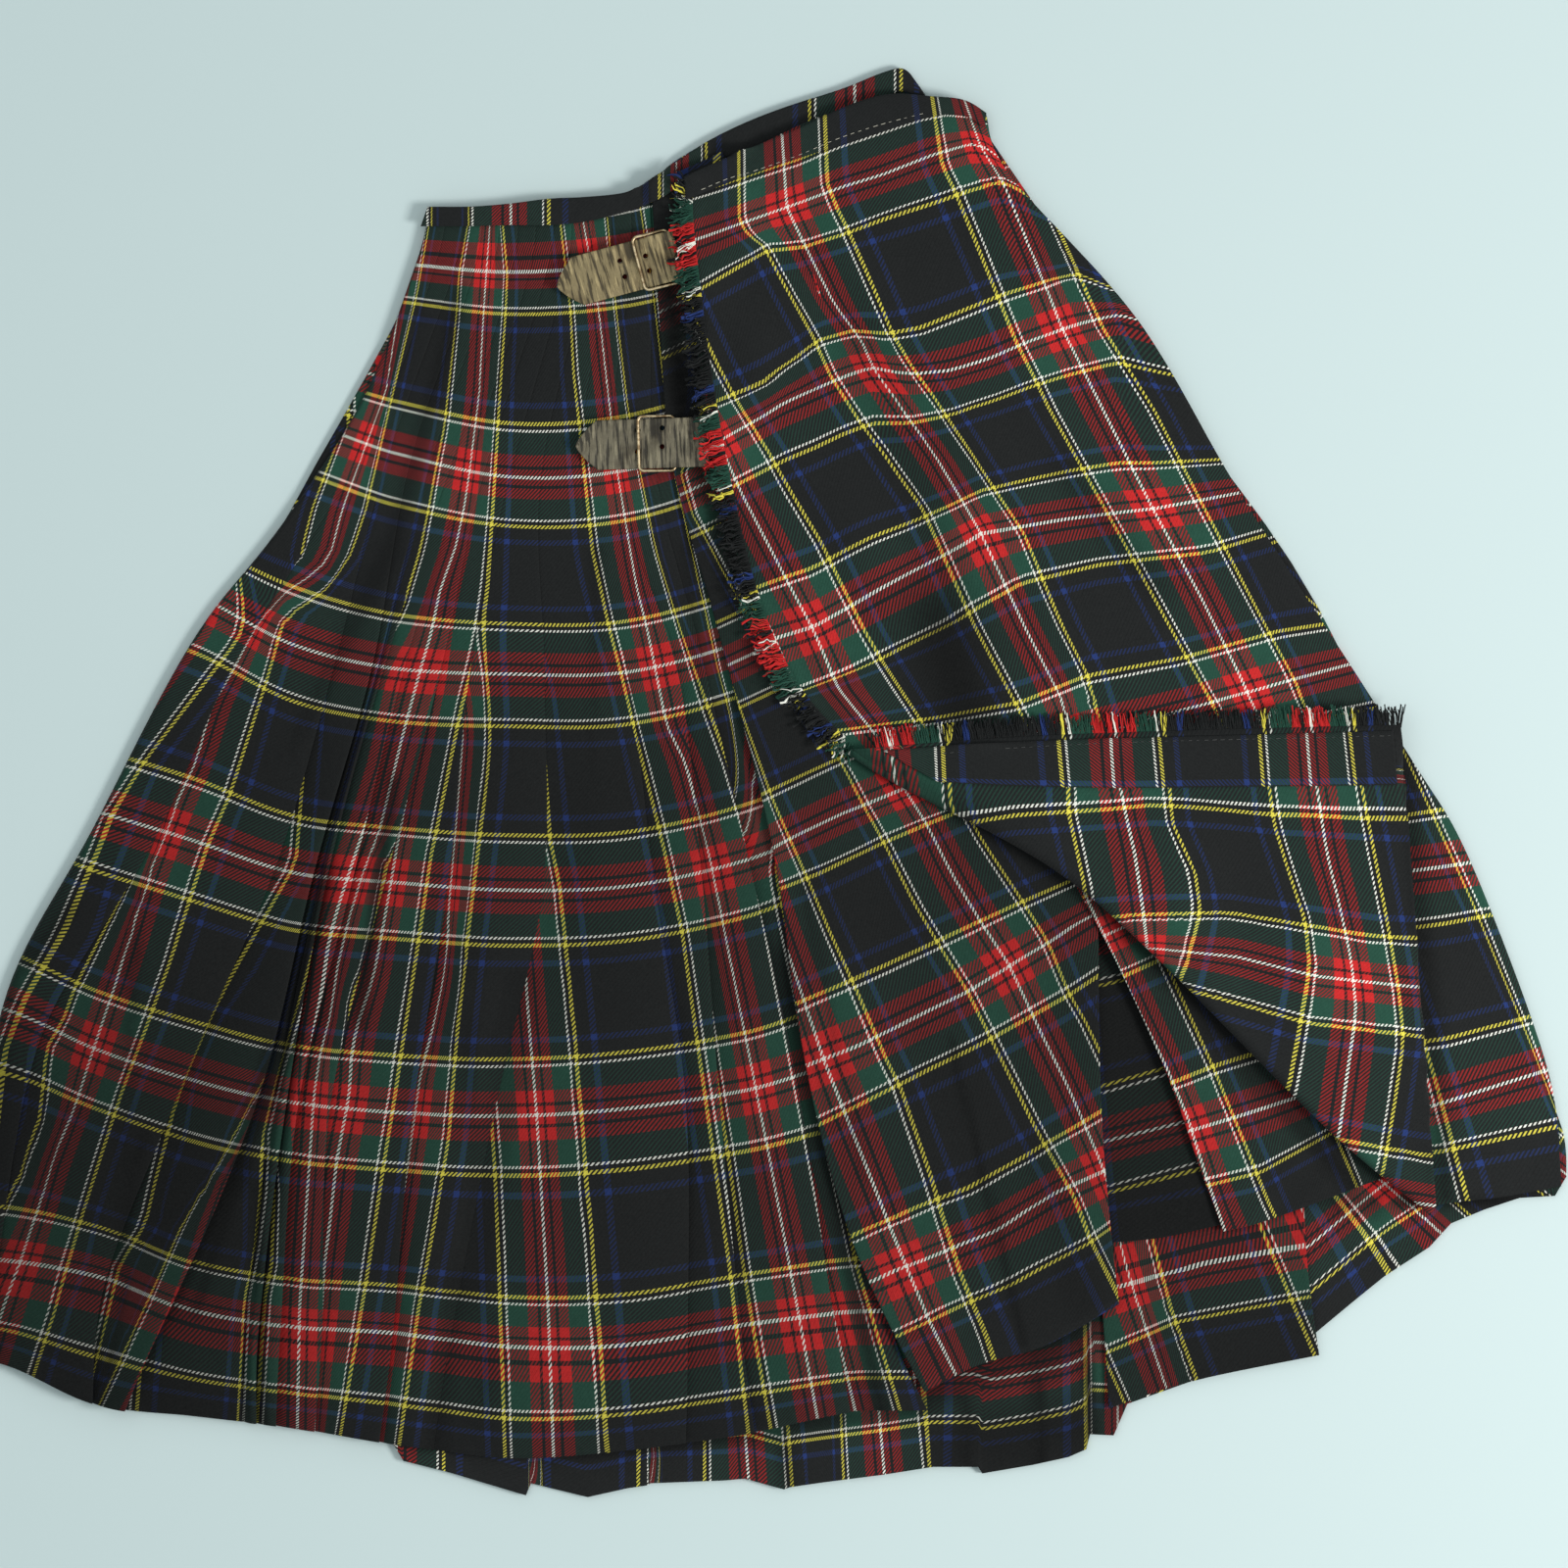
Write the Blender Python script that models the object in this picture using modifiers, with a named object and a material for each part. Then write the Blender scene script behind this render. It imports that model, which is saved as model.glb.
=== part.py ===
# Kilt laid flat on its side, with the over-apron's lower corner turned back
#
# Layout sizes are millimetres on the table: x runs right and y runs down towards the hem,
# both from the upper left corner of the layout. Heights are millimetres above the table.

import math
import random

import bmesh
import bpy
from mathutils import Vector
from mathutils.bvhtree import BVHTree

# Driving dimensions, in millimetres
MIDDLE_X = 394.6        # layout point that becomes the part's origin
MIDDLE_Y = 398.6
CLOTH_WALL = 1.8        # fulled wool twill, two layers at its folds
BACK_WALL = 2.2         # hidden layers of the back half, pressed together
BAND_WALL = 1.2
SEAM_GAP = 0.35         # clear space between pieces that touch
PLEAT_RUN = 0.8         # half the width over which a pleat edge drops to the next one
ROLL_RADIUS = 5.0       # of the turned-back corner
STRAP_WIDTH = 25.4
STRAP_WALL = 2.2
STRAP_TIP = 11.0        # length of the pointed end
STRAP_POINT = 0.7       # bend of its sides: 1 is straight
STRAP_LIFT = 0.4        # of the leather above the pleats before it climbs its buckle
WIRE = 1.6              # buckle wire
BUCKLE_LENGTH = 18.5
BUCKLE_CORNER = 2.5     # bend radius of the wire
FRINGE_PITCH = 2.4
FRINGE_WALL = 1.0
FRINGE_BACKING = 1.8
FRINGE_LENGTH = 9.0
FRINGE_GAP_SHARE = 0.45  # of the pitch that stays open between two strands
STRAND_TIP = 0.7        # width of a strand's end
METRE = 0.001
ABOVE_ALL = 200.0       # height from which the pile is looked down upon
REACH_SHARE = 0.75      # of a cloth's mesh width, over which it clears what it lies on
BRIDGE_SPARE = 0.25     # extra room under cloths that bridge several others
FLAP_REACH = 9.0        # over which the turned corner clears the apron
EDGE_REACH = 1.5        # over which the fringe clears the pleats
CORNER_REACH = 0.3      # over which the fringe clears the apron it lies on

# Weft rows of the pleated front, as depth y below the layout's upper edge at each x
ROW_X = [0, 50, 100, 150, 200, 260, 320, 380, 440]
WEFT_ROWS = {
    "waist": [107, 107, 107, 107, 107, 105, 98.5, 74, 52],
    "band_1": [130, 131, 132, 133, 135, 139.5, 135, 120, 102],
    "band_2": [190, 200, 207, 214, 231, 243.5, 240, 220, 196],
    "band_3": [280, 290, 304, 329, 341, 344, 343, 327, 300],
    "band_4": [400, 414, 429, 445, 450, 454, 452, 439, 417],
    "band_5": [514, 535, 551, 562, 567, 569, 565, 556, 540],
    "band_6": [642, 650, 668, 676, 679, 686, 685, 675, 668],
    "hem": [695, 716, 722, 728, 736, 743, 739, 731, 719],
}

# Folds of the pleated front: x at each weft row, then the lift of the pleat that ends there
# at its left, middle and right, in the open lower part
FOLDS = {
    # name: (waist, band_1, band_2, band_3, band_4, band_5, band_6, hem), (left, middle, right)
    "side": ((218.5, 212, 175, 111, 52, 1.5, -11.5, -12.5), (0, 0, 0)),
    "pleat_1": ((228, 222, 188, 131, 82, 24, 0, -4), (0.2, 3.0, 3.5)),
    "pleat_2": ((237, 232, 199, 172, 141, 95, 55, 48), (0.8, 5.0, 4.5)),
    "pleat_3": ((246, 242, 210, 190.5, 160.5, 133, 89, 65), (0.8, 6.0, 8.5)),
    "recess_1": ((255, 251, 220, 193.5, 164, 141, 127, 125), (0.3, 1.6, 1.2)),
    "pleat_4": ((264, 261, 230, 196.5, 167.5, 147, 133, 131.5), (0.6, 4.5, 5.0)),
    "pleat_5": ((273, 270, 238, 206.5, 180.5, 153, 144, 141.5), (0.6, 4.5, 5.0)),
    "pleat_6": ((282, 279, 247, 225, 197, 169, 165, 161), (0.6, 4.0, 4.5)),
    "pleat_7": ((291, 289, 260, 240, 229, 211, 201, 194), (0.6, 3.5, 4.5)),
    "valley": ((301, 300, 276, 278, 277, 252, 230, 221.5), (0.8, 5.0, 1.0)),
    "pleat_8": ((311, 311, 296, 320, 334, 350, 351, 350), (0.5, 6.0, 4.0)),
    "pleat_9": ((321, 322, 313, 345, 358, 367, 378, 385), (1.2, 4.0, 4.5)),
    "pleat_10": ((331, 333, 334, 358, 382, 406, 425, 434), (0.8, 4.5, 4.5)),
    "pleat_11": ((339, 343, 352, 384, 404, 424, 452, 473), (0.8, 3.0, 1.5)),
}
FELL_LIFT = (0.0, 0.6, 1.2)
ROWS_PER_BAND = 3
OPENING = (2.2, 4.5)     # weft rows between which the stitched pleats come open

# Back half: outline of what lies on the table, and the pleat steps along its hem
BACK_WAIST = [(220, 108.5), (262, 107), (300, 104), (330, 94), (345, 82), (375, 66), (430, 46),
              (450, 38.5), (460, 35.5), (467, 42.5), (472, 50), (500, 58)]
BACK_LEFT = [(220, 108.5), (211, 145), (188, 190), (163, 234), (135, 283), (103, 322), (87, 352),
             (69, 390), (37, 448), (12, 500), (-1, 540), (-8, 600), (-10, 650), (-9, 690)]
BACK_RIGHT = [(500, 58), (514, 91), (534, 120), (568, 150), (593, 188), (617, 229), (643, 264),
              (669, 304), (698, 360), (726, 412), (748, 462), (775, 522), (796, 573), (799, 600)]
BACK_HEM = [
    # x, y, height added at the hem
    (-9, 690, 0.0), (30, 692, 0.0), (50, 698, 0.0), (90, 714, 0.0), (125, 719, 0.0),
    (160, 720, 0.0), (197, 730, 0.3), (206, 745, 1.0), (230, 751, 1.4), (250, 757, 1.6),
    (268.5, 762.5, 1.8), (271, 756.5, 0.2), (300, 763.5, 1.0), (320, 759, 1.2), (330, 757.5, 1.6),
    (332, 756.5, 0.4), (370, 755, 1.0), (380, 754, 1.4), (400, 759.5, 1.8), (403, 758.5, 0.5),
    (420, 756, 1.0), (451, 752, 1.4), (476, 748, 1.6), (499, 748, 1.8), (501, 751.5, 0.4),
    (527, 747, 1.2), (545, 743, 1.6), (554, 739, 1.8), (556, 731.5, 0.4), (568, 732, 1.4),
    (575, 716, 0.8), (609, 704, 0.4), (640, 696, 0.3), (666, 684, 0.3), (690, 664, 0.4),
    (706, 651, 0.8), (729, 636, 1.0), (740, 624, 0.6), (757, 617, 0.4), (775, 611, 0.6),
    (793, 610, 0.4), (799, 600, 0.0),
]

# Lattices of the other cloths: rows run from the waist to the hem, columns from left to right,
# each point as x, y and least height of its upper face
END_PLEAT = [
    [(333, 94, 5), (344, 89, 5), (356, 84, 5), (368, 78, 5)],
    [(337, 160, 5), (351, 153, 5), (368, 146, 5), (388, 138, 5)],
    [(343, 235, 5.5), (361, 226, 5.5), (383, 215, 5.5), (410, 203, 5.5)],
    [(361, 300, 6), (386, 285, 6), (416, 268, 6), (452, 252, 6)],
    [(375, 352, 7), (412, 335, 7), (455, 320, 7), (510, 305, 7)],
    [(388, 402, 8), (436, 385, 7), (490, 368, 8), (550, 345, 9)],
    [(398, 450, 8), (450, 436, 7), (503, 420, 8), (556, 402, 10)],
    [(405, 503, 8), (458, 490, 7), (512, 474, 8), (559, 458, 11)],
    [(413, 550, 8), (464, 541, 7), (516, 527, 8), (559.5, 514, 12)],
    [(425, 600, 8), (474, 594, 7), (522, 582, 8), (561, 570, 12)],
    [(443, 652, 8), (487, 646, 7), (530, 636, 8), (565, 620, 11)],
    [(472, 709, 8), (500, 695.5, 7), (533, 686, 7), (570, 665, 9)],
]
UNDER_FOLD = [
    [(535, 452, 4), (590, 430, 4.5), (640, 415, 5)],
    [(545, 530, 4), (605, 510, 4.5), (652, 492, 5)],
    [(555, 610, 4), (612, 595, 5), (662, 580, 5.5)],
    [(562, 660, 4), (617, 655, 5), (666, 645, 6)],
    [(566, 718, 4), (609, 704, 5), (672, 691, 6)],
]
UNDER_PLEAT = [
    [(540, 455, 6), (585, 440, 6), (625, 428, 6)],
    [(547, 520, 6), (592, 508, 6), (632, 497, 6)],
    [(553, 580, 6), (598, 568, 6), (636, 558, 6)],
    [(557, 634, 6), (592, 631, 6), (632, 622, 6)],
]
UNDER_APRON = [
    [(400, 86, 5), (440, 68, 5), (500, 64, 4.5)],
    [(430, 190, 5), (500, 175, 5), (566, 162, 4.5)],
    [(480, 330, 6), (560, 295, 6), (632, 268, 4.5)],
    [(548, 450, 10), (620, 412, 8), (690, 366, 4.5)],
    [(575, 502, 12), (650, 475, 9), (726, 440, 4.5)],
    [(597, 552, 12), (670, 528, 9), (748, 500, 4.5)],
    [(611, 592, 11), (684, 570, 8), (764, 548, 4.5)],
    [(624, 627.5, 9), (655, 619, 7), (760, 580, 4.5)],
]
OVER_APRON = [
    # left edge to the right side fold; the last four rows start at the turned-back fold
    [(348.5, 92, 5), (380, 78, 7), (425, 58, 8), (472, 50.5, 7), (503, 59, 5)],
    [(349.5, 125, 6), (390, 111, 8), (435, 95, 9), (480, 79, 8), (515, 90, 5)],
    [(363.5, 225, 7), (412, 201, 10), (467, 191, 13), (530, 172, 11), (580, 163.5, 5)],
    [(389.5, 325, 8), (447, 295, 12), (505, 271, 13), (570, 262, 12), (632, 251.5, 5)],
    [(434, 382.5, 10), (492, 371, 13), (555, 359, 14), (622, 354, 12), (692, 345, 5)],
    [(529, 432.5, 12), (577, 422, 13), (626, 411, 13), (674, 401, 11), (722, 391, 5)],
    [(586, 478.5, 13), (627, 469, 13), (668, 459, 12), (710, 449, 10), (750, 440, 5)],
    [(678, 570.5, 11), (704, 564, 11), (731, 558, 9), (760, 551, 8), (789, 545, 5)],
    [(731, 614.5, 8), (746, 612.5, 7), (762, 611, 6), (780, 608, 5), (796, 605, 5)],
]
FIRST_TURNED_ROW = 4
TURNED_CORNER = [
    # where each turned row ends, at the frayed edge, with the height of the turned cloth there
    (434, 382.5, 17), (505, 377, 19), (567, 374, 19), (671, 371, 18), (713, 370, 17),
]
TURNED_BULGE = 3.0

# Sewn bands: upper and lower edge
BANDS = {
    "waistband_back": (
        [(342, 85), (360, 73), (380, 63), (402, 54.5), (430, 45.5), (450, 37.5), (461, 35.5),
         (468, 43), (473, 50.5)],
        [(345, 94), (362, 84), (384, 76), (405, 67), (433, 57), (451, 50), (461, 47),
         (467, 51), (472, 56)]),
    "waistband_pleats": (
        [(218.5, 106), (240, 106), (260, 104.5), (280, 102), (300, 101), (320, 98.5), (333, 91.5),
         (344, 83)],
        [(215, 118), (238, 118.5), (260, 118), (280, 118), (300, 116), (320, 111), (335, 105),
         (347, 97)]),
    "waistband_apron": (
        [(349, 91.5), (365, 84), (385, 75.5), (408, 66), (432, 55), (453, 49), (475, 50), (492, 52),
         (503, 58.5)],
        [(350, 103.5), (370, 95), (389, 88), (410, 81), (435, 73), (457, 66), (476, 60.5),
         (490, 59.5), (502, 66)]),
    "edge_band": (
        [(450, 383), (500, 379.5), (560, 377), (620, 375.5), (670, 374), (709, 373)],
        [(478, 399), (520, 401), (570, 402), (625, 401.5), (672, 401), (711, 400.5)]),
}

# Straps: tip, end at the apron, and how far from the tip the buckle's upper bar crosses
STRAPS = {
    "upper": ((284.5, 147), (346.5, 130.5), 43.0),
    "lower": ((294, 228), (362, 226), 32.0),
}

COLOURS = {
    "back_half": (0.030, 0.045, 0.045),
    "pleated_panel": (0.045, 0.060, 0.055),
    "end_pleat": (0.060, 0.040, 0.042),
    "under_apron": (0.035, 0.055, 0.050),
    "over_apron": (0.050, 0.050, 0.055),
    "band": (0.040, 0.050, 0.060),
    "fringe": (0.070, 0.045, 0.040),
    "leather": (0.260, 0.215, 0.140),
    "buckle": (0.420, 0.310, 0.170),
}


# Layout and curves

def spot(x, y, z):
    """A layout point as a place in the part, in metres."""
    return Vector(((x - MIDDLE_X) * METRE, (MIDDLE_Y - y) * METRE, z * METRE))


def along(values, t):
    """Smooth value at t, counted in steps of the list, which may hold numbers or vectors."""
    last = len(values) - 1
    i = min(max(int(math.floor(t)), 0), last - 1)
    f = min(max(t - i, 0.0), 1.0)
    a = values[max(i - 1, 0)]
    b, c = values[i], values[i + 1]
    d = values[min(i + 2, last)]
    slope_b = (c - a) * 0.5
    slope_c = (d - b) * 0.5
    return (b * (2 * f**3 - 3 * f**2 + 1) + slope_b * (f**3 - 2 * f**2 + f)
            + c * (3 * f**2 - 2 * f**3) + slope_c * (f**3 - f**2))


def steps(count, last):
    """count + 1 even values from 0 to last."""
    return [last * i / count for i in range(count + 1)]


def smooth_ramp(value, low, high):
    f = min(max((value - low) / (high - low), 0.0), 1.0)
    return f * f * (3 - 2 * f)


def lattice(rows, row_count, column_count):
    """Grid of layout points through a coarse lattice of them."""
    rows = [[Vector(p) for p in row] for row in rows]
    grid = []
    for s in steps(row_count, len(rows) - 1):
        across = [along([row[k] for row in rows], s) for k in range(len(rows[0]))]
        grid.append([along(across, t) for t in steps(column_count, len(across) - 1)])
    return grid


# Scene, materials and solids

def clear_scene():
    for thing in list(bpy.data.objects):
        bpy.data.objects.remove(thing)


def finish(name, colour, roughness, metallic=0.0):
    """Plain finish of one piece."""
    material = bpy.data.materials.new(name)
    material.use_nodes = True
    shader = material.node_tree.nodes["Principled BSDF"]
    shader.inputs["Base Color"].default_value = (*colour, 1.0)
    shader.inputs["Roughness"].default_value = roughness
    shader.inputs["Metallic"].default_value = metallic
    return material


def add_object(name, mesh, material):
    thing = bpy.data.objects.new(name, mesh)
    thing.data.materials.append(material)
    collection.objects.link(thing)
    return thing


def thick_sheet(name, grid, wall, material, flat_base=False):
    """Cloth with its upper face on the grid and its wall straight below, or down to the table."""
    bm = bmesh.new()
    verts = [[bm.verts.new(spot(*p)) for p in row] for row in grid]
    for above, below in zip(verts, verts[1:]):
        for k in range(len(above) - 1):
            bm.faces.new((above[k], below[k], below[k + 1], above[k + 1]))
    made = bmesh.ops.extrude_face_region(bm, geom=bm.faces[:], use_keep_orig=True)
    lower = [v for v in made["geom"] if isinstance(v, bmesh.types.BMVert)]
    for vert in lower:
        vert.co.z = 0.0 if flat_base else vert.co.z - wall * METRE
    bmesh.ops.recalc_face_normals(bm, faces=bm.faces[:])
    mesh = bpy.data.meshes.new(name)
    bm.to_mesh(mesh)
    bm.free()
    return add_object(name, mesh, material)


# Layers that lie on each other

class Pile:
    """The solids laid so far, asked how high they reach at a spot."""

    def __init__(self):
        self.trees = []

    def add(self, thing):
        bpy.context.view_layer.update()
        graph = bpy.context.evaluated_depsgraph_get()
        self.trees.append(BVHTree.FromObject(thing, graph))

    def height(self, x, y, reach):
        """Highest point of the pile within reach of the spot, in millimetres."""
        highest = 0.0
        spots = [(x, y)]
        for ring in (0.35, 0.7, 1.0):
            for k in range(12):
                turn = math.tau * k / 12
                spots.append((x + ring * reach * math.cos(turn), y + ring * reach * math.sin(turn)))
        for px, py in spots:
            start = spot(px, py, ABOVE_ALL)
            for tree in self.trees:
                hit = tree.ray_cast(start, Vector((0, 0, -1)))[0]
                if hit is not None:
                    highest = max(highest, hit.z / METRE)
        return highest


def lay(grid, wall, spare=0.0):
    """Raises a grid's upper face where the pile below it asks for that."""
    for r, row in enumerate(grid):
        for k, point in enumerate(row):
            near = [grid[max(r - 1, 0)][k], grid[min(r + 1, len(grid) - 1)][k],
                    row[max(k - 1, 0)], row[min(k + 1, len(row) - 1)]]
            reach = REACH_SHARE * max(math.hypot(p[0] - point[0], p[1] - point[1]) for p in near)
            under = pile.height(point[0], point[1], reach)
            point[2] = max(point[2], under + SEAM_GAP + spare + wall)
    return grid


# Pleated front

def weft_depth(row_step, x):
    """Depth y of the weft row, counted in steps from the waist, at x."""
    rows = list(WEFT_ROWS.values())
    at_x = 0
    while at_x < len(ROW_X) - 2 and x > ROW_X[at_x + 1]:
        at_x += 1
    t = at_x + (x - ROW_X[at_x]) / (ROW_X[at_x + 1] - ROW_X[at_x])
    t = min(max(t, 0.0), len(ROW_X) - 1)
    return along([along(row, t) for row in rows], row_step)


def pleat_row(row_step):
    """One weft row across all pleats, as layout points of the upper face."""
    open_part = smooth_ramp(row_step, *OPENING)
    base = BACK_WALL + SEAM_GAP + CLOTH_WALL
    folds = list(FOLDS.values())
    row = []
    for (left_line, _), (right_line, lifts) in zip(folds, folds[1:]):
        left = along(left_line, row_step) + PLEAT_RUN
        right = along(right_line, row_step) - PLEAT_RUN
        for place, fell_lift, open_lift in zip((0.0, 0.5, 1.0), FELL_LIFT, lifts):
            x = left + (right - left) * place
            lift = fell_lift + (open_lift - fell_lift) * open_part
            row.append([x, weft_depth(row_step, x), base + lift])
    return row


def pleated_panel():
    last = len(WEFT_ROWS) - 1
    grid = [pleat_row(s) for s in steps(last * ROWS_PER_BAND, last)]
    return thick_sheet("pleated_panel", grid, CLOTH_WALL, cloth["pleated_panel"])


# Back half on the table

def back_half():
    """A sheet between four outlines, with pleat steps along the hem that shows."""
    waist = [Vector((x, y, 0)) for x, y in BACK_WAIST]
    left = [Vector((x, y, 0)) for x, y in BACK_LEFT]
    right = [Vector((x, y, 0)) for x, y in BACK_RIGHT]
    hem = [Vector(point) for point in BACK_HEM]
    down_steps = [0, 0.12, 0.25, 0.4, 0.55, 0.7, 0.85, 0.955, 1.0]
    grid = []
    for down in down_steps:
        side_a = along(left, down * (len(left) - 1))
        side_b = along(right, down * (len(right) - 1))
        row = []
        for k, hem_point in enumerate(hem):
            across = k / (len(hem) - 1)
            top = along(waist, across * (len(waist) - 1))
            corner = ((waist[0] * (1 - across) + waist[-1] * across) * (1 - down)
                      + (hem[0] * (1 - across) + hem[-1] * across) * down)
            point = (top * (1 - down) + hem_point * down
                     + side_a * (1 - across) + side_b * across - corner)
            step = hem_point.z if down == 1.0 else 0.0
            row.append([point.x, point.y, BACK_WALL + step])
        grid.append(row)
    return thick_sheet("back_half", grid, BACK_WALL, cloth["back_half"], flat_base=True)


# Over-apron with its turned-back corner

def over_apron():
    """One cloth: its face runs under the apron, round the roll and over the turned corner."""
    rows_per_band, main_columns, roll_columns, flap_columns = 4, 12, 6, 9
    turned_from = FIRST_TURNED_ROW * rows_per_band
    row_count = (len(OVER_APRON) - 1) * rows_per_band
    main_top = lay(lattice(OVER_APRON, row_count, main_columns), CLOTH_WALL, spare=BRIDGE_SPARE)
    main = [[Vector((p.x, p.y, p.z - CLOTH_WALL)) for p in row] for row in main_top]
    main_solid = thick_sheet("over_apron_main", main_top, CLOTH_WALL, cloth["over_apron"])
    pile.add(main_solid)
    bpy.data.objects.remove(main_solid)

    corner = [Vector(p) for p in TURNED_CORNER]
    grid = []
    for r, row in enumerate(main):
        line = [Vector(p) for p in reversed(row)]
        if r >= turned_from:
            done = (r - turned_from) / (row_count - turned_from)
            before = main[max(r - 1, turned_from)][0]
            after = main[min(r + 1, row_count)][0]
            fold_way = (after - before).xy.normalized()
            outward = Vector((-fold_way.y, fold_way.x, 0))
            radius = ROLL_RADIUS * (0.5 + 0.5 * smooth_ramp(done, 0.0, 0.25))
            axis = Vector(row[0])
            end = along(corner, done * (len(corner) - 1))
            for k in range(1, roll_columns + 1):
                turn = math.pi * k / roll_columns
                rise = radius * (1 - math.cos(turn))
                line.append(axis + outward * radius * math.sin(turn) + Vector((0, 0, rise)))
            start = line[-1]
            for k in range(1, flap_columns + 1):
                f = k / flap_columns
                point = start.lerp(Vector((end.x, end.y, start.z)), f)
                sink = start.z + (end.z - start.z) * smooth_ramp(f, 0.0, 0.8)
                bulge = TURNED_BULGE * math.sin(math.pi * f) * smooth_ramp(done, 0.0, 0.3)
                under = pile.height(point.x, point.y, FLAP_REACH) + SEAM_GAP + CLOTH_WALL
                point.z = max(sink + bulge, under) if done > 0 else start.z
                line.append(point)
        grid.append(line)

    bm = bmesh.new()
    verts = [[bm.verts.new(spot(*p)) for p in line] for line in grid]
    for above, below in zip(verts, verts[1:]):
        for k in range(min(len(above), len(below)) - 1):
            bm.faces.new((above[k], above[k + 1], below[k + 1], below[k]))
    loose = [v for v in bm.verts if not v.link_faces]
    bmesh.ops.delete(bm, geom=loose, context="VERTS")
    bmesh.ops.remove_doubles(bm, verts=bm.verts[:], dist=1e-5)
    bmesh.ops.recalc_face_normals(bm, faces=bm.faces[:])
    middle = max(bm.faces, key=lambda face: -face.calc_center_median().z)
    mesh = bpy.data.meshes.new("over_apron")
    if middle.normal.z > 0:
        bmesh.ops.reverse_faces(bm, faces=bm.faces[:])
    bm.to_mesh(mesh)
    bm.free()
    apron = add_object("over_apron", mesh, cloth["over_apron"])
    wall = apron.modifiers.new("wall", "SOLIDIFY")
    wall.thickness = CLOTH_WALL * METRE
    wall.offset = -1.0
    pile.trees.pop()
    edge = [main_top[r][0] for r in range(turned_from)]
    turned_edge = [line[-1] for line in grid[turned_from + 2:]]
    return apron, edge, turned_edge


# Bands, straps and buckles

def band(name):
    """A narrow strip of cloth laid on the panels."""
    upper, lower = BANDS[name]
    rows = [[(x, y, 0) for x, y in edge] for edge in (upper, lower)]
    grid = lay(lattice(rows, 3, 24), BAND_WALL, spare=BRIDGE_SPARE)
    return thick_sheet(name, grid, BAND_WALL, cloth["band"])


def strap_place(name, along_strap, across):
    """Layout point on a strap, from its tip towards the apron."""
    tip, end, _ = STRAPS[name]
    way = (Vector(end) - Vector(tip)).normalized()
    side = Vector((-way.y, way.x))
    return Vector(tip) + way * along_strap + side * across


def strap_bed(name):
    """Height of the highest pleat under a strap."""
    tip, end, _ = STRAPS[name]
    length = (Vector(end) - Vector(tip)).length
    spots = [strap_place(name, length * i / 8, STRAP_WIDTH * j / 4)
             for i in range(9) for j in (-2, -1, 0, 1, 2)]
    return max(pile.height(p.x, p.y, 4) for p in spots) + SEAM_GAP


def strap(name, bed):
    """Leather with a pointed end that arches over the hidden bar of its buckle."""
    tip, end, bar = STRAPS[name]
    length = (Vector(end) - Vector(tip)).length
    arch = WIRE + SEAM_GAP + 0.1
    stations = [0.3, 1.5, 3.5, 6.5, STRAP_TIP, bar * 0.6, bar - 5, bar, bar + 4,
                bar + BUCKLE_LENGTH - 5, bar + BUCKLE_LENGTH - 2.5, length - 0.5, length]
    grid = []
    for station in stations:
        rounding = min(station / STRAP_TIP, 1.0)
        half = STRAP_WIDTH / 2 * rounding ** STRAP_POINT
        lift = (STRAP_LIFT * smooth_ramp(station, 2, bar - 4)
                + (arch - STRAP_LIFT) * smooth_ramp(station, bar, bar + BUCKLE_LENGTH - 5))
        row = []
        for across in (-1.0, -0.5, 0.0, 0.5, 1.0):
            point = strap_place(name, station, half * across)
            row.append([point.x, point.y, bed + lift + STRAP_WALL])
        grid.append(row)
    return thick_sheet("strap_" + name, grid, STRAP_WALL, leather)


def buckle(name, bed):
    """Wire frame: one bar over the strap, the other under it."""
    bar = STRAPS[name][2]
    half = STRAP_WIDTH / 2 + SEAM_GAP + WIRE / 2
    corner = BUCKLE_CORNER
    outline = []
    for middle_a, middle_b, start in (
            (bar + corner, half - corner, 90), (bar + corner, corner - half, 180),
            (bar + BUCKLE_LENGTH - corner, corner - half, 270),
            (bar + BUCKLE_LENGTH - corner, half - corner, 0)):
        for k in range(4):
            turn = math.radians(start + 30 * k)
            outline.append((middle_a + corner * math.cos(turn), middle_b + corner * math.sin(turn)))
    high = bed + STRAP_LIFT + STRAP_WALL + SEAM_GAP + WIRE / 2
    low = bed + WIRE / 2
    path = bpy.data.curves.new("buckle_" + name, "CURVE")
    path.dimensions = "3D"
    path.bevel_depth = WIRE / 2 * METRE
    path.bevel_resolution = 2
    line = path.splines.new("POLY")
    line.points.add(len(outline) - 1)
    for point, (a, b) in zip(line.points, outline):
        place = strap_place(name, a, b)
        fall = smooth_ramp(a, bar + 2, bar + BUCKLE_LENGTH - 5)
        point.co = (*spot(place.x, place.y, high + (low - high) * fall), 1.0)
    line.use_cyclic_u = True
    return add_object("buckle_" + name, path, brass)


# Frayed selvedge

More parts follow.
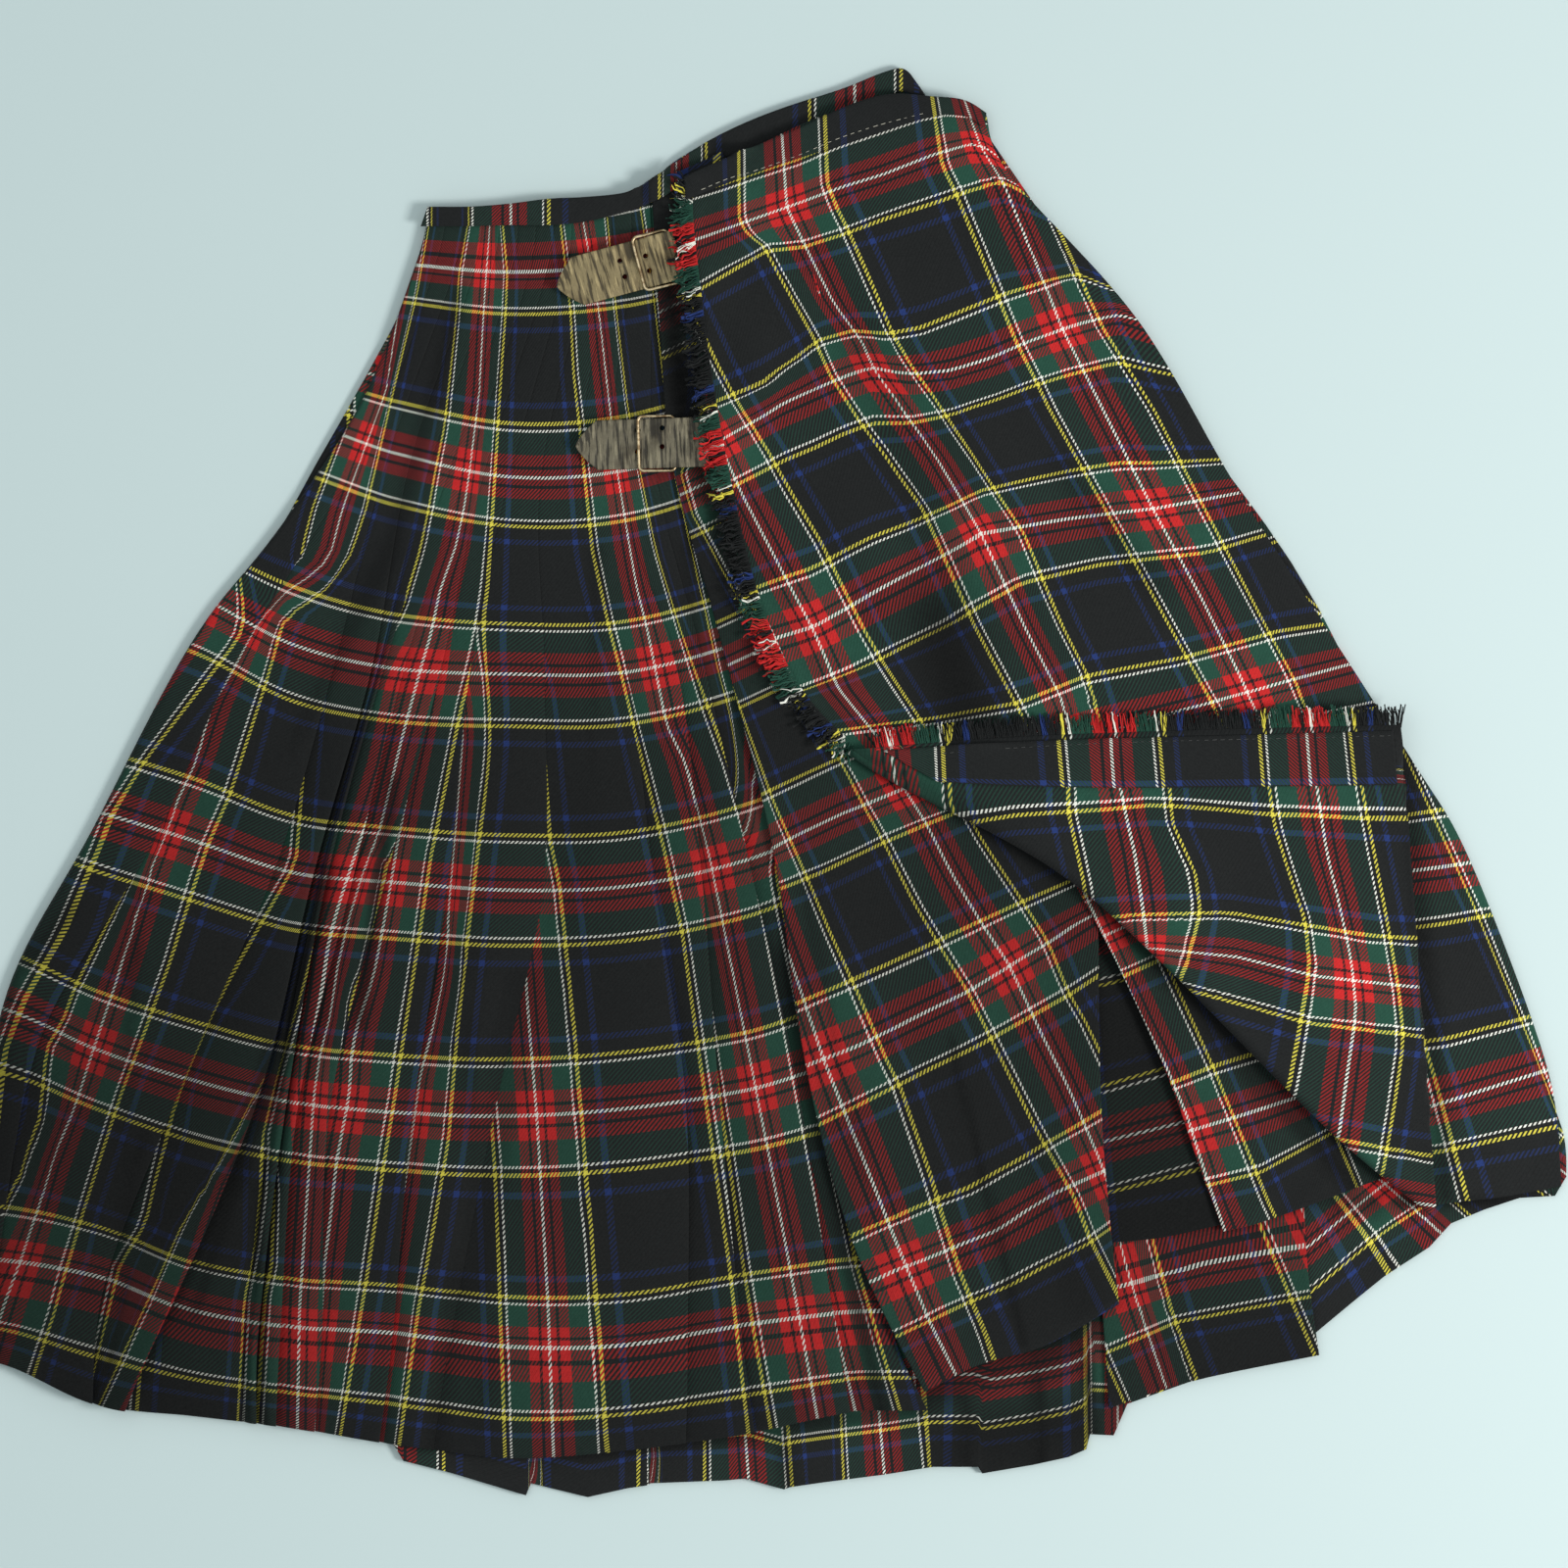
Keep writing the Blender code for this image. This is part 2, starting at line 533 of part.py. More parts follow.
def fringe(name, edge, turn_side, tilt, reach):
    """Comb of strands on a narrow backing that runs beside the cloth's edge and falls from it."""
    lengths = [0.0]
    for a, b in zip(edge, edge[1:]):
        lengths.append(lengths[-1] + (b.xy - a.xy).length)
    count = int(lengths[-1] / FRINGE_PITCH)
    chance = random.Random(len(name) * 7 + count)

    def edge_at(distance):
        k = 0
        while k < len(lengths) - 2 and distance > lengths[k + 1]:
            k += 1
        f = (distance - lengths[k]) / (lengths[k + 1] - lengths[k])
        return edge[k].lerp(edge[k + 1], min(max(f, 0.0), 1.0))

    bm = bmesh.new()

    def corner_at(distance, outward_by, slide):
        here = edge_at(min(max(distance, 0.0), lengths[-1]))
        ahead = edge_at(min(distance + 6, lengths[-1]))
        behind = edge_at(max(distance - 6, 0.0))
        way = (ahead - behind).xy.normalized()
        out = Vector((way.y, -way.x)) * turn_side
        x = here.x + out.x * outward_by + way.x * slide
        y = here.y + out.y * outward_by + way.y * slide
        bed = pile.height(x, y, reach + 0.15 * outward_by) + 2 * SEAM_GAP + FRINGE_WALL
        fall = smooth_ramp(outward_by, 0, FRINGE_LENGTH)
        return bm.verts.new(spot(x, y, max(bed, here.z + (bed - here.z) * fall)))

    inner, outer = SEAM_GAP, SEAM_GAP + FRINGE_BACKING
    last = (corner_at(0, inner, 0), corner_at(0, outer, 0))
    for k in range(count):
        gap_end = (k + FRINGE_GAP_SHARE) * FRINGE_PITCH
        tooth_end = (k + 1) * FRINGE_PITCH
        near = (corner_at(gap_end, inner, 0), corner_at(gap_end, outer, 0))
        bm.faces.new((last[0], last[1], near[1], near[0]))
        far = (corner_at(tooth_end, inner, 0), corner_at(tooth_end, outer, 0))
        bm.faces.new((near[0], near[1], far[1], far[0]))
        length = FRINGE_LENGTH * chance.uniform(0.7, 1.15)
        slide = tilt * length + chance.uniform(-1.0, 1.0)
        middle = (gap_end + tooth_end) / 2
        tip = (corner_at(middle - STRAND_TIP / 2, outer + length, slide),
               corner_at(middle + STRAND_TIP / 2, outer + length, slide))
        bm.faces.new((near[1], tip[0], tip[1], far[1]))
        last = far
    made = bmesh.ops.extrude_face_region(bm, geom=bm.faces[:], use_keep_orig=True)
    for vert in made["geom"]:
        if isinstance(vert, bmesh.types.BMVert):
            vert.co.z -= FRINGE_WALL * METRE
    bmesh.ops.recalc_face_normals(bm, faces=bm.faces[:])
    mesh = bpy.data.meshes.new(name)
    bm.to_mesh(mesh)
    bm.free()
    return add_object(name, mesh, cloth["fringe"])


# Start

clear_scene()
collection = bpy.data.collections.new("scottish_kilt")
bpy.context.scene.collection.children.link(collection)
cloth = {name: finish(name, COLOURS[name], 0.85)
         for name in ("back_half", "pleated_panel", "end_pleat", "under_apron", "over_apron",
                      "band", "fringe")}
leather = finish("leather", COLOURS["leather"], 0.6)
brass = finish("buckle", COLOURS["buckle"], 0.35, metallic=1.0)
pile = Pile()

pile.add(back_half())
pile.add(band("waistband_back"))
pile.add(pleated_panel())
pile.add(thick_sheet("under_apron_fold", lay(lattice(UNDER_FOLD, 12, 7), CLOTH_WALL),
                     CLOTH_WALL, cloth["under_apron"]))
pile.add(thick_sheet("under_apron_pleat", lay(lattice(UNDER_PLEAT, 12, 6), CLOTH_WALL),
                     CLOTH_WALL, cloth["under_apron"]))
pile.add(thick_sheet("end_pleat", lay(lattice(END_PLEAT, 18, 10), CLOTH_WALL),
                     CLOTH_WALL, cloth["end_pleat"]))
pile.add(thick_sheet("under_apron", lay(lattice(UNDER_APRON, 24, 9), CLOTH_WALL),
                     CLOTH_WALL, cloth["under_apron"]))
pile.add(band("waistband_pleats"))
for strap_name in STRAPS:
    bed = strap_bed(strap_name)
    pile.add(strap(strap_name, bed))
    pile.add(buckle(strap_name, bed))
apron, apron_edge, turned_edge = over_apron()
fringe("fringe_edge", apron_edge, -1, 0.15, EDGE_REACH)
pile.add(apron)
fringe("fringe_corner", turned_edge, 1, 0.2, CORNER_REACH)
band("waistband_apron")
band("edge_band")
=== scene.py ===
# %% [markdown]
# A pleated tartan kilt lies flat on a table. Its solids come first, as a fixed frame.
# Each cloth below is a thin shell that follows the upper face of its solid, so the heights
# are read from the solids and only the layout, in millimetres on the table, is given here:
# x runs right and y runs down towards the hem.

# %% Frame
import math

import bmesh
import bpy
import numpy as np
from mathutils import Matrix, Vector
from mathutils.bvhtree import BVHTree


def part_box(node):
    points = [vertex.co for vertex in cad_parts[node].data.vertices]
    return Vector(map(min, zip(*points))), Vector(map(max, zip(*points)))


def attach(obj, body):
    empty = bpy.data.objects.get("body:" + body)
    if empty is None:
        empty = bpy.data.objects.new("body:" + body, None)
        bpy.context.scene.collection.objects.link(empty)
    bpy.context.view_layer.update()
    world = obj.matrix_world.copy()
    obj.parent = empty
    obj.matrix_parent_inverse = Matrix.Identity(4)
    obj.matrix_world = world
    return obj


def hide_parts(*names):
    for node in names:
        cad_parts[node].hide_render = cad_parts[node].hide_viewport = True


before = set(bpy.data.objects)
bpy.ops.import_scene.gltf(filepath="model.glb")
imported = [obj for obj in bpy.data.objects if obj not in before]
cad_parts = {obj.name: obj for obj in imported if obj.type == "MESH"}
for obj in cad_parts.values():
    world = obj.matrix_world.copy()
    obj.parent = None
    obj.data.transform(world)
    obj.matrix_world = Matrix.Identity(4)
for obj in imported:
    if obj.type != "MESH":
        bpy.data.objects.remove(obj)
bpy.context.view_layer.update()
MIDDLE_X, MIDDLE_Y = 394.6, 398.6
METRE = 0.001
CLOTH = 0.6             # visible thickness of the wool, mm
SOLID_WALL = 1.8        # wall of a cloth's solid, mm
BACK_WALL = 2.2
SETT = 98.0             # one repeat of the tartan, mm
PHOTO = 0.5             # millimetres a pixel in the photograph's measures below


# %% [markdown]
# Curves through a few measured points are worked out as weights, so a whole lattice of
# points can be refined at once. Heights come from looking down on a solid, or up at it.

# %% Layout tools
def spline_weights(count, places):
    """Catmull-Rom weights from `count` values to the values at places counted in steps."""
    weights = np.zeros((len(places), count))
    for row, place in enumerate(places):
        i = min(max(int(place), 0), count - 2)
        f = place - i
        shares = (-0.5 * f + f**2 - 0.5 * f**3, 1 - 2.5 * f**2 + 1.5 * f**3,
                  0.5 * f + 2 * f**2 - 1.5 * f**3, -0.5 * f**2 + 0.5 * f**3)
        for index, share in zip((i - 1, i, i + 1, i + 2), shares):
            weights[row, min(max(index, 0), count - 1)] += share
    return weights


def resampled(grid, rows, columns):
    """The lattice `grid` with that many rows and columns of cells."""
    grid = np.asarray(grid, float)
    down = spline_weights(grid.shape[0], np.linspace(0, grid.shape[0] - 1, rows + 1))
    across = spline_weights(grid.shape[1], np.linspace(0, grid.shape[1] - 1, columns + 1))
    return np.einsum("ri,ijk,cj->rck", down, grid, across)


def ramp(value, low, high):
    f = np.clip((np.asarray(value, float) - low) / (high - low), 0, 1)
    return f * f * (3 - 2 * f)


def in_frame(points):
    """Layout points in the row frame, in metres."""
    points = np.asarray(points, float)
    return np.stack([(points[..., 0] - MIDDLE_X), (MIDDLE_Y - points[..., 1]), points[..., 2]], -1) * METRE


TREES = {name: BVHTree.FromPolygons([v.co for v in node.data.vertices],
                                    [p.vertices for p in node.data.polygons])
         for name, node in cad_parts.items()}


middle_height = {name: sum(corner.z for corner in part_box(name)) / 2 for name in TREES}


def height(node, x, y, from_above=True):
    """Height of a solid's upper or lower face at a layout point, in millimetres."""
    start, way = (0.5, -1.0) if from_above else (-0.5, 1.0)
    here = Vector(((x - MIDDLE_X) * METRE, (MIDDLE_Y - y) * METRE, start))
    hit = TREES[node].ray_cast(here, Vector((0, 0, way)))[0]
    if hit is None:
        near = Vector((here.x, here.y, middle_height[node]))
        near = TREES[node].find_nearest(near)[0]
        near = Vector((near.x + (near.x - here.x) * 0.02, near.y + (near.y - here.y) * 0.02, start))
        hit = TREES[node].ray_cast(near, Vector((0, 0, way)))[0] or TREES[node].find_nearest(near)[0]
    return hit.z / METRE


def on_solid(node, grid):
    """Adds the solid's upper height to each point of a lattice of layout points."""
    return np.array([[(x, y, height(node, x, y)) for x, y in row] for row in grid])


# %% [markdown]
# The pattern is woven, so it follows the cloth and not the table. Each panel has a few
# measured stripes: where a warp stripe (across) or a weft stripe (down) runs in the
# photograph. Between two stripes the weave's own coordinate, counted in repeats of the
# tartan, is shared out evenly, and beyond the last one it goes on at the usual width.

# %% Weave coordinates
def line_at(points, along, key):
    """Where a measured stripe crosses, at the given place along it; it runs on straight."""
    points = sorted((p[key], p[1 - key]) for p in points)
    if len(points) == 1:
        return np.full_like(along, points[0][1] * PHOTO)
    at = np.array([p[0] for p in points]) * PHOTO
    value = np.array([p[1] for p in points]) * PHOTO
    inside = np.interp(along, at, value)
    first = (value[1] - value[0]) / max(at[1] - at[0], 1e-6)
    last = (value[-1] - value[-2]) / max(at[-1] - at[-2], 1e-6)
    inside = np.where(along < at[0], value[0] + first * (along - at[0]), inside)
    return np.where(along > at[-1], value[-1] + last * (along - at[-1]), inside)


def weave_value(stripes, across, along, key, pitch=SETT):
    """Weave coordinate at points: stripes is [(value, measured points)], in rising order."""
    places = np.stack([line_at(points, along, key) for _, points in stripes])
    values = [value for value, _ in stripes]
    result = values[0] + (across - places[0]) / pitch
    for k in range(len(stripes) - 1):
        width = np.maximum(places[k + 1] - places[k], 1.0)
        f = (across - places[k]) / width
        between = values[k] + (values[k + 1] - values[k]) * f
        result = np.where(across >= places[k], between, result)
    after = values[-1] + (across - places[-1]) / pitch
    return np.where(across >= places[-1], after, result)


def warp(stripes, grid, pitch=SETT):
    return weave_value(stripes, grid[..., 0], grid[..., 1], 1, pitch)


def weft(stripes, grid, pitch=SETT):
    return weave_value(stripes, grid[..., 1], grid[..., 0], 0, pitch)


# %% [markdown]
# Cloth becomes a mesh of four-sided faces with the weave coordinates as its UV map, and a
# Solidify modifier gives it its thickness downwards. A side that is a fold, not a cut edge,
# gets a lip that rolls over and goes back under the cloth.

# %% Cloth builder
def store_painted_shade(mesh, gloom):
    """Keeps the painted shade at each point, 0 to 1, which is deepest in the folds, for the finish to darken.
    """
    if gloom is not None:
        values = mesh.attributes.new("gloom", "FLOAT", "POINT")
        values.data.foreach_set("value", np.asarray(gloom, float).ravel())


def shadowed(points, places):
    """Painted shade at points near lines: each runs from a to b, so wide and so strong."""
    gloom = np.zeros(points.shape[:-1])
    for a, b, width, strength in places:
        a, b = np.array(a) * PHOTO, np.array(b) * PHOTO
        way = b - a
        run = np.clip(((points[..., :2] - a) @ way) / (way @ way), 0, 1)
        off = np.linalg.norm(points[..., :2] - a - run[..., None] * way, axis=-1)
        gloom = np.maximum(gloom, strength * np.exp(-(off / width) ** 2))
    return gloom


def panel(name, points, weave, wall=CLOTH, thicken=True, gloom=None):
    """Mesh of a lattice of layout points (rows, columns, 3) with weave coordinates."""
    rows, columns = points.shape[:2]
    mesh = bpy.data.meshes.new(name)
    index = np.arange(rows * columns).reshape(rows, columns)
    faces = np.stack([index[:-1, :-1], index[1:, :-1], index[1:, 1:], index[:-1, 1:]], -1).reshape(-1, 4)
    mesh.from_pydata(in_frame(points).reshape(-1, 3).tolist(), [], faces.tolist())
    mesh.polygons.foreach_set("use_smooth", [True] * len(mesh.polygons))
    layer = mesh.uv_layers.new(name="weave")
    corners = np.zeros(len(mesh.loops), int)
    mesh.loops.foreach_get("vertex_index", corners)
    layer.data.foreach_set("uv", weave.reshape(-1, 2)[corners].ravel())
    store_painted_shade(mesh, gloom)
    thing = bpy.data.objects.new(name, mesh)
    bpy.context.scene.collection.objects.link(thing)
    if thicken:
        solid = thing.modifiers.new("wall", "SOLIDIFY")
        solid.thickness = wall * METRE
        solid.offset = -1.0
    return thing


def folded_side(points, left, width, drop):
    """Adds a rolled lip to the left or right side of a lattice, tucked under by `width`."""
    side = points[:, :1] if left else points[:, -1:]
    inner = points[:, 1:2] if left else points[:, -2:-1]
    way = inner - side
    way[..., 2] = 0
    way /= np.maximum(np.linalg.norm(way, axis=-1, keepdims=True), 1e-6)
    radius = drop / 2
    lip = []
    for turn in (30, 60, 90, 120, 150, 180):
        a = math.radians(turn)
        moved = side - way * radius * math.sin(a)
        moved[..., 2:] -= radius * (1 - math.cos(a))
        lip.append(moved)
    under = lip[-1] + way * width
    lip.append(under)
    if left:
        return np.concatenate(lip[::-1] + [points], axis=1)
    return np.concatenate([points] + lip, axis=1)


def creased(points, creases):
    """Soft troughs and ridges, given one by one: each runs from a to b, so wide and so high."""
    for a, b, width, high in creases:
        a, b = np.array(a) * PHOTO, np.array(b) * PHOTO
        way = b - a
        length = np.linalg.norm(way)
        way = way / length
        offset = points[..., :2] - a
        run = (offset @ way) / length
        off = offset @ np.array([-way[1], way[0]])
        taper = ramp(run, -0.15, 0.3) * (1 - ramp(run, 0.7, 1.15))
        points[..., 2] += high * taper * np.exp(-(off / width) ** 2)
    return points


# %% [markdown]
# A finish is a small tree of shader nodes. The class below lets its sums be written as
# plain expressions, and one method makes any other node.

# %% Shader sums
class Wire:
    """A socket of a finish, worked with as a number."""

    def __init__(self, tree, socket=None):
        self.tree = tree
        self.socket = socket

    def made(self, kind, settings=None, inputs=None, out=0):
        """A new node of a kind, with its settings set first and then its sockets."""
        node = self.tree.nodes.new(kind)
        for key, value in (settings or {}).items():
            if key == "stops":
                ramp_stops = node.color_ramp.elements
                while len(ramp_stops) > 1:
                    ramp_stops.remove(ramp_stops[-1])
                ramp_stops[0].position = value[0][0]
                ramp_stops[0].color = (*value[0][1], 1)
                for place, colour in value[1:]:
                    ramp_stops.new(place).color = (*colour, 1)
            elif key == "interpolation":
                node.color_ramp.interpolation = value
            else:
                setattr(node, key, value)
        for key, value in (inputs or {}).items():
            if isinstance(value, Wire):
                self.tree.links.new(value.socket, node.inputs[key])
            else:
                node.inputs[key].default_value = value
        return Wire(self.tree, node.outputs[out])

    def sum(self, operation, *others):
        inputs = dict(enumerate(others))
        return self.made("ShaderNodeMath", {"operation": operation}, inputs)

    def __add__(self, other):
        return self.sum("ADD", self, other)

    def __radd__(self, other):
        return self.sum("ADD", other, self)

    def __sub__(self, other):
        return self.sum("SUBTRACT", self, other)

    def __rsub__(self, other):
        return self.sum("SUBTRACT", other, self)

    def __mul__(self, other):
        return self.sum("MULTIPLY", self, other)

    def __rmul__(self, other):
        return self.sum("MULTIPLY", other, self)

    def __truediv__(self, other):
        return self.sum("DIVIDE", self, other)

    def noise(self, place, scale, detail):
        return self.made("ShaderNodeTexNoise", None, {"Vector": place, "Scale": scale, "Detail": detail})

    def between(self, low, high):
        """0 below low, 1 above high, smooth between them."""
        return self.made("ShaderNodeMapRange", {"interpolation_type": "SMOOTHSTEP"},
                         {"Value": self, "From Min": low, "From Max": high})

    def sine(self, turns=1.0):
        return self.sum("SINE", self * (math.tau * turns))

    def mixed(self, a, b):
        """Colour a where this is 0, colour b where it is 1."""
        a = a if isinstance(a, Wire) else (*a, 1)
        b = b if isinstance(b, Wire) else (*b, 1)
        return self.made("ShaderNodeMix", {"data_type": "RGBA"}, {0: self, 6: a, 7: b}, out=2)

    def shaded(self, other):
        """This colour multiplied by a number."""
        grey = self.made("ShaderNodeCombineColor", None, {0: other, 1: other, 2: other})
        return self.made("ShaderNodeMix", {"data_type": "RGBA", "blend_type": "MULTIPLY"},
                         {0: 1.0, 6: self, 7: grey}, out=2)


def new_finish(name, roughness, **constant):
    """A material with its shader, and the wire that starts its sums."""
    material = bpy.data.materials.new(name)
    material.use_nodes = True
    shader = material.node_tree.nodes["Principled BSDF"]
    shader.inputs["Roughness"].default_value = roughness
    for key, value in constant.items():
        shader.inputs[key.replace("_", " ")].default_value = value
    return material, shader, Wire(material.node_tree)


def drive(shader, wires):
    for key, wire in wires.items():
        wire.tree.links.new(wire.socket, shader.inputs[key])


# %% [markdown]
# The tartan is the same in warp and weft and runs the same both ways from the middle of its
# red stripe. Each stripe is a constant stop of a colour ramp, read at the distance from the
# nearest red centre. A two-and-two twill shows a warp yarn and a weft yarn in turn along
# steep diagonals, so the two colours are mixed by a fine diagonal wave. The darker of the two
# also shows a little more, as painted shade between the yarns, except beside white and yellow,
# which stay bright in the photograph.

# %% Tartan
def srgb(*values):
    return tuple(((v / 255 + 0.055) / 1.055) ** 2.4 if v > 10 else v / 255 / 12.92 for v in values)


YARNS = {
    "black": srgb(29, 30, 30),
    "green": srgb(36, 76, 61),
    "red": srgb(206, 40, 40),
    "white": srgb(252, 250, 236),
    "yellow": srgb(242, 226, 84),
    "blue": srgb(37, 56, 112),
}
HALF_SETT = [
    # yarn, width in millimetres, from the red centre outwards
    ("white", 0.6), ("red", 3.15), ("black", 1.5), ("red", 5.25), ("green", 10.0), ("white", 1.15),
    ("black", 1.85), ("yellow", 1.75), ("black", 5.75), ("blue", 2.5), ("black", 15.5),
]
TWILL = 2.0             # width of one diagonal of the twill, mm
YARN = 0.5              # width of one yarn, mm
DARK_SHARE = 0.58       # how far the darker yarn of a crossing wins over the woven mix
PALE_SHARE = 0.5        # how much of that white and yellow yarns take back


def yarn_colour(start, coordinate):
    """Colour of the yarn at a weave coordinate."""
    stops, place = [], 0.0
    for yarn, width in HALF_SETT:
        stops.append((place / (SETT / 2), YARNS[yarn]))
        place += width
    mirrored = start.sum("PINGPONG", coordinate, 0.5) * 2.0
    return start.made("ShaderNodeValToRGB", {"interpolation": "CONSTANT", "stops": stops}, {0: mirrored})


def tartan(name, weft_only=False, worn=0.0):
    material, shader, start = new_finish(name, 0.92, Specular_IOR_Level=0.1, Sheen_Weight=0.04,
                                         Sheen_Roughness=0.5)
    uv = start.made("ShaderNodeUVMap", {"uv_map": "weave"})
    parts = start.made("ShaderNodeSeparateXYZ", None, {0: uv})
    u = parts
    v = Wire(start.tree, parts.socket.node.outputs[1])
    place = start.made("ShaderNodeTexCoord", None, None, out=3)
    fuzz = start.noise(place, 900.0, 3.0)
    cloud = start.noise(place, 22.0, 3.0)
    stretch_u = start.made("ShaderNodeCombineXYZ", None, {0: u * (SETT / YARN), 1: v * 18.0, 2: 0.0})
    stretch_v = start.made("ShaderNodeCombineXYZ", None, {0: u * 18.0, 1: v * (SETT / YARN), 2: 3.0})
    warp_noise = start.noise(stretch_u, 1.0, 1.0)
    weft_noise = start.noise(stretch_v, 1.0, 1.0)
    wobble = (fuzz - 0.5) * 0.0016
    diagonal = ((u + v + wobble) * (SETT / TWILL)).sine()
    shows_weft = diagonal.between(-0.35, 0.35)
    warp_colour = yarn_colour(start, u + wobble).shaded(0.72 + 0.56 * warp_noise)
    weft_colour = yarn_colour(start, v + wobble).shaded(0.72 + 0.56 * weft_noise)
    darker = warp_colour.made("ShaderNodeMix", {"data_type": "RGBA", "blend_type": "DARKEN"},
                              {0: 1.0, 6: warp_colour, 7: weft_colour}, out=2)
    lighter = warp_colour.made("ShaderNodeMix", {"data_type": "RGBA", "blend_type": "LIGHTEN"},
                               {0: 1.0, 6: warp_colour, 7: weft_colour}, out=2)
    paleness = lighter.made("ShaderNodeSeparateColor", None, {0: lighter}, out=1)
    # mixing towards the darker yarn paints shade between the yarns
    woven = (DARK_SHARE - PALE_SHARE * paleness).mixed(shows_weft.mixed(warp_colour, weft_colour), darker)
    cloth_colour = weft_colour if weft_only else woven
    # painted shade: the attribute read here darkens the colour in folds, gaps and under upper layers; `shade`
    # multiplies it in with random tone from fuzz and cloud, and is darker where warp and weft change over
    # along the twill
    gloom = start.made("ShaderNodeAttribute", {"attribute_name": "gloom"}, None, out=2)
    shade = (0.78 + 0.24 * fuzz + 0.22 * cloud) * (0.84 + 0.16 * (diagonal * diagonal)) * (1.0 - gloom)
    faded = (worn + 0.03 * fuzz).mixed(cloth_colour.shaded(shade), srgb(150, 150, 146))
    relief = diagonal * 0.5 + fuzz * 1.2
    bump = start.made("ShaderNodeBump", None, {"Strength": 0.35, "Distance": 0.00025, "Height": relief})
    drive(shader, {"Base Color": faded, "Roughness": 0.86 + 0.12 * fuzz, "Normal": bump})
    return material


wool = tartan("tartan_wool")
fray = tartan("frayed_yarn", weft_only=True)
print("tartan stripes:", len(HALF_SETT), "half repeat:", sum(w for _, w in HALF_SETT), "mm")


def dressed(thing, nodes, material):
    """Gives a finished piece its material and its body, and hides the solids it is built on."""
    thing.data.materials.append(material)
    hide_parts(*nodes)
    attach(thing, "root")
    return thing


# %% [markdown]
# The back half lies on the table as pressed layers. Only its waist and its hem show, past
# the front, with small steps where its pleats end. It is one closed sheet with a flat
# underside, and its upper face is a lattice between four outlines.

# %% Back half
BACK_WAIST = [(220, 108.5), (262, 107), (300, 104), (330, 94), (345, 82), (375, 66), (430, 46),
              (450, 38.5), (460, 35.5), (467, 42.5), (472, 50), (500, 58)]
BACK_LEFT = [(220, 108.5), (211, 145), (188, 190), (163, 234), (135, 283), (103, 322), (87, 352),
             (69, 390), (37, 448), (12, 500), (-1, 540), (-8, 600), (-10, 650), (-9, 690)]
BACK_RIGHT = [(500, 58), (514, 91), (534, 120), (568, 150), (593, 188), (617, 229), (643, 264),
              (669, 304), (698, 360), (726, 412), (748, 462), (775, 522), (796, 573), (799, 600)]
BACK_HEM = [
    # x, y, height added at the hem
    (-9, 690, 0.0), (30, 692, 0.0), (50, 698, 0.0), (90, 714, 0.0), (125, 719, 0.0),
    (160, 720, 0.0), (197, 730, 0.3), (206, 745, 1.0), (230, 751, 1.4), (250, 757, 1.6),
    (268.5, 762.5, 1.8), (271, 756.5, 0.2), (300, 763.5, 1.0), (320, 759, 1.2), (330, 757.5, 1.6),
    (332, 756.5, 0.4), (370, 755, 1.0), (380, 754, 1.4), (400, 759.5, 1.8), (403, 758.5, 0.5),
    (420, 756, 1.0), (451, 752, 1.4), (476, 748, 1.6), (499, 748, 1.8), (501, 751.5, 0.4),
    (527, 747, 1.2), (545, 743, 1.6), (554, 739, 1.8), (556, 731.5, 0.4), (568, 732, 1.4),
    (575, 716, 0.8), (609, 704, 0.4), (640, 696, 0.3), (666, 684, 0.3), (690, 664, 0.4),
    (706, 651, 0.8), (729, 636, 1.0), (740, 624, 0.6), (757, 617, 0.4), (775, 611, 0.6),
    (793, 610, 0.4), (799, 600, 0.0),
]
BACK_WARP = [
    # weave coordinate, points of the stripe in photo pixels
    (-1.768, [(450, 1500)]), (-1.671, [(468, 1500)]), (-1.45, [(538, 1500)]), (-0.72, [(544, 1500)]),
    (-0.671, [(560, 1500)]), (-0.329, [(635, 1500)]), (-0.232, [(655, 1500)]), (-0.22, [(662, 1500)]),
    (0.5, [(668, 1500)]), (0.671, [(705, 1500)]), (0.768, [(722, 1500)]),
    (1.0, [(755, 150), (755, 1400), (765, 1520)]), (1.232, [(794, 140), (797, 1400), (805, 1520)]),
    (1.329, [(813, 130), (815, 1400), (825, 1520)]), (1.671, [(896, 105), (850, 1400), (850, 1510)]),
    (1.768, [(915, 100), (855, 1400), (862, 1510)]), (2.0, [(950, 95), (893, 1400), (902, 1500)]),
    (2.232, [(990, 90), (935, 1400), (944, 1490)]), (2.329, [(1010, 90), (965, 1490)]),
    (2.671, [(1080, 90), (1090, 1490)]), (2.768, [(1100, 90), (1112, 1490)]),
    (3.0, [(1145, 90), (1140, 1490)]),
    (3.232, [(1190, 90), (1170, 1490)]), (3.768, [(1363, 1213), (1400, 1260), (1424, 1297)]),
    (4.0, [(1410, 1205), (1440, 1230), (1475, 1262)]),
]


BACK_SEAM = [(660, 215), (693, 182), (757, 150), (790, 139), (815, 128), (854, 111), (896, 93),
             (927, 88), (940, 96)]


def finer(grid, downs, acrosses):
    """Cuts each cell of a lattice into straight parts, so its shape stays as it is."""
    for axis, parts in ((0, downs), (1, acrosses)):
        places = np.linspace(0, grid.shape[axis] - 1, (grid.shape[axis] - 1) * parts + 1)
        low = np.minimum(places.astype(int), grid.shape[axis] - 2)
        share = (places - low).reshape((-1, 1, 1) if axis == 0 else (1, -1, 1))
        grid = np.take(grid, low, axis) * (1 - share) + np.take(grid, low + 1, axis) * share
    return grid


